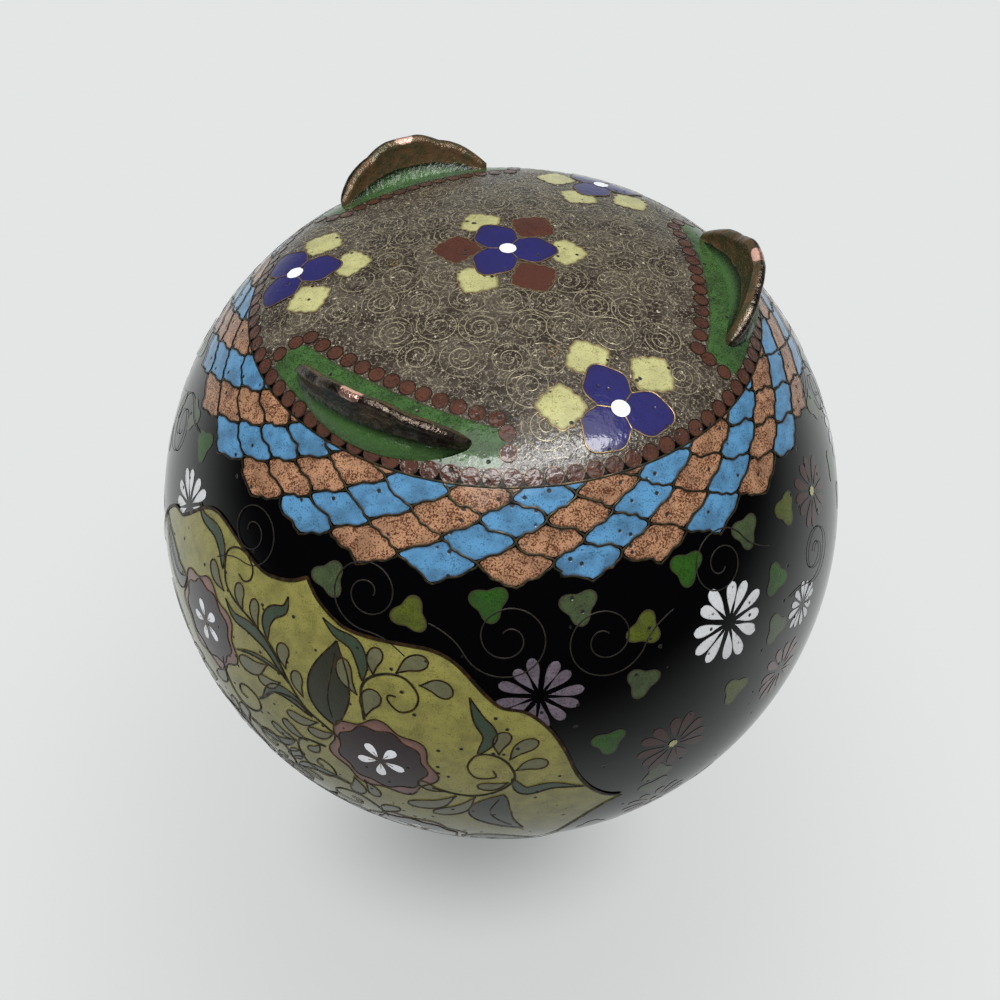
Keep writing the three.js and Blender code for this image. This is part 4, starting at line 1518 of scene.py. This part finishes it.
# %% [markdown]
# ## Stage and light
#
# The jar stands on a pale floor. The picture is taken from below it, so the floor shows only from
# above and lets light through from below. The surroundings are pale above the jar and dim below it.
# Small soft panels below the jar and in front of it make the shine along the shoulder, a wider one
# softens it, and two wide ones fill in the shadows and aren't mirrored.


# %% Floor
def one_way_floor():
    """Pale floor that is seen from above only."""
    half = 2.5
    mesh = bpy.data.meshes.new("floor")
    corners = [(-half, -half, 0), (half, -half, 0), (half, half, 0), (-half, half, 0)]
    mesh.from_pydata(corners, [], [(0, 1, 2, 3)])
    mat = bpy.data.materials.new("floor")
    mat.use_nodes = True
    tree = mat.node_tree
    shader = tree.nodes["Principled BSDF"]
    shader.inputs["Base Color"].default_value = srgb(226, 228, 227)
    shader.inputs["Roughness"].default_value = 0.7
    clear = tree.nodes.new("ShaderNodeBsdfTransparent")
    side = tree.nodes.new("ShaderNodeNewGeometry")
    mix = tree.nodes.new("ShaderNodeMixShader")
    tree.links.new(side.outputs["Backfacing"], mix.inputs[0])
    tree.links.new(shader.outputs[0], mix.inputs[1])
    tree.links.new(clear.outputs[0], mix.inputs[2])
    tree.links.new(mix.outputs[0], tree.nodes["Material Output"].inputs["Surface"])
    mesh.materials.append(mat)
    floor = bpy.data.objects.new("floor", mesh)
    bpy.context.scene.collection.objects.link(floor)
    floor.visible_diffuse = floor.visible_glossy = floor.visible_transmission = floor.visible_shadow = False


one_way_floor()

# %% World
world = bpy.data.worlds.new("surroundings")
bpy.context.scene.world = world
world.use_nodes = True
w = Nodes(world.node_tree)
direction = world.node_tree.nodes.new("ShaderNodeTexCoord").outputs["Object"]
split = world.node_tree.nodes.new("ShaderNodeSeparateXYZ")
w.link(direction, split.inputs[0])
pale = srgb(216, 220, 219)
table_side = w.math("ADD", split.outputs["Z"], w.math("MULTIPLY", split.outputs["Y"], 0.4))
under_jar = w.math("SUBTRACT", split.outputs["Z"], w.math("MULTIPLY", split.outputs["Y"], 0.5))
shaded = w.mix(w.fit(under_jar, 0.5, 0.88), pale, srgb(178, 181, 180))
lit = w.mix(w.fit(table_side, -0.15, 0.62), (0.008, 0.008, 0.009, 1), shaded)
# the soft shadow on the backdrop, from directions: its middle is at across = climb = 0
across = w.math("MULTIPLY", w.math("ADD", split.outputs["X"], -0.022), 5.3)
rising = w.math("MULTIPLY", split.outputs["Z"], 0.648)
falling = w.math("MULTIPLY", split.outputs["Y"], 0.762)
climb = w.math("SUBTRACT", w.math("SUBTRACT", rising, falling), 0.348)


def spread(wide, tall):
    """Distance from the middle of the shadow, with its own width and height."""
    a = w.math("MULTIPLY", across, wide)
    b = w.math("MULTIPLY", climb, tall)
    return w.math("SQRT", w.math("ADD", w.math("MULTIPLY", a, a), w.math("MULTIPLY", b, b)))


ray = world.node_tree.nodes.new("ShaderNodeLightPath").outputs["Is Camera Ray"]
backdrop = w.mix(w.fit(spread(0.42, 2.2), 0.25, 1.25), srgb(207, 209, 208), srgb(227, 230, 229))
backdrop = w.mix(w.fit(spread(1.0, 9.0), 0.0, 1.15, 0.85, 0.0), backdrop, srgb(128, 130, 130))
background = world.node_tree.nodes["Background"]
w.link(w.mix(ray, lit, backdrop), background.inputs["Color"])
background.inputs["Strength"].default_value = 1.0


# %% Lights
def soft_panel(name, place_at, target, size, power, is_mirrored):
    """A square area light that faces a point."""
    data = bpy.data.lights.new(name, "AREA")
    data.shape = "SQUARE"
    data.size = size
    data.energy = power
    light = bpy.data.objects.new(name, data)
    bpy.context.scene.collection.objects.link(light)
    way = Vector(target) - Vector(place_at)
    light.matrix_world = Matrix.Translation(place_at) @ way.to_track_quat("-Z", "Y").to_matrix().to_4x4()
    light.visible_camera = False
    light.visible_glossy = is_mirrored


JAR_MIDDLE = (0, 0, CENTRE_HEIGHT * MM)
# name, place and side in metres, power in watts, and whether it is mirrored
PANELS = (
    ("panel_below", (-0.30, -0.16, -0.94), 0.30, 3.6, True),
    ("front_below", (-0.06, -0.42, -0.91), 0.34, 3.3, True),
    ("side_below", (0.22, -0.40, -0.89), 0.26, 1.2, True),
    ("halo_below", (-0.10, -0.24, -1.0), 1.0, 5, True),
    ("wide_below", (0.40, -0.40, -1.10), 1.2, 12, False),
    ("panel_above", (0.5, 0.7, 1.1), 0.9, 9, False),
)
for name, place_at, side, power, is_mirrored in PANELS:
    soft_panel(name, place_at, JAR_MIDDLE, side, power, is_mirrored)

# %% [markdown]
# ## Camera
#
# The camera looks up at the underside from 40 degrees off the jar's axis, at a distance of 2.7 body
# radii, with the lens of a phone held close.

# %% Camera
CAMERA_TILT = math.radians(40.39)
CAMERA_ROLL = math.radians(1.27)
CAMERA_DISTANCE = 2.702 * BODY_RADIUS
LENS = 30.6
AIM = (0.0012, 0.0007)
right = Vector((
    -math.cos(CAMERA_ROLL),
    math.cos(CAMERA_TILT) * math.sin(CAMERA_ROLL),
    -math.sin(CAMERA_TILT) * math.sin(CAMERA_ROLL),
))
up = Vector((
    math.sin(CAMERA_ROLL),
    math.cos(CAMERA_TILT) * math.cos(CAMERA_ROLL),
    -math.sin(CAMERA_TILT) * math.cos(CAMERA_ROLL),
))
back = Vector((0, -math.sin(CAMERA_TILT), -math.cos(CAMERA_TILT)))
data = bpy.data.cameras.new("camera")
data.sensor_width = 36
data.sensor_fit = "HORIZONTAL"
data.lens = LENS
data.clip_start = 0.01
camera = bpy.data.objects.new("camera", data)
bpy.context.scene.collection.objects.link(camera)
eye = Vector(JAR_MIDDLE) + CAMERA_DISTANCE * MM * (back - AIM[0] * right + AIM[1] * up)
turn = Matrix((right, up, back)).transposed()
camera.matrix_world = Matrix.Translation(eye) @ turn.to_4x4()
bpy.context.scene.camera = camera
bpy.context.scene.view_settings.view_transform = "Standard"
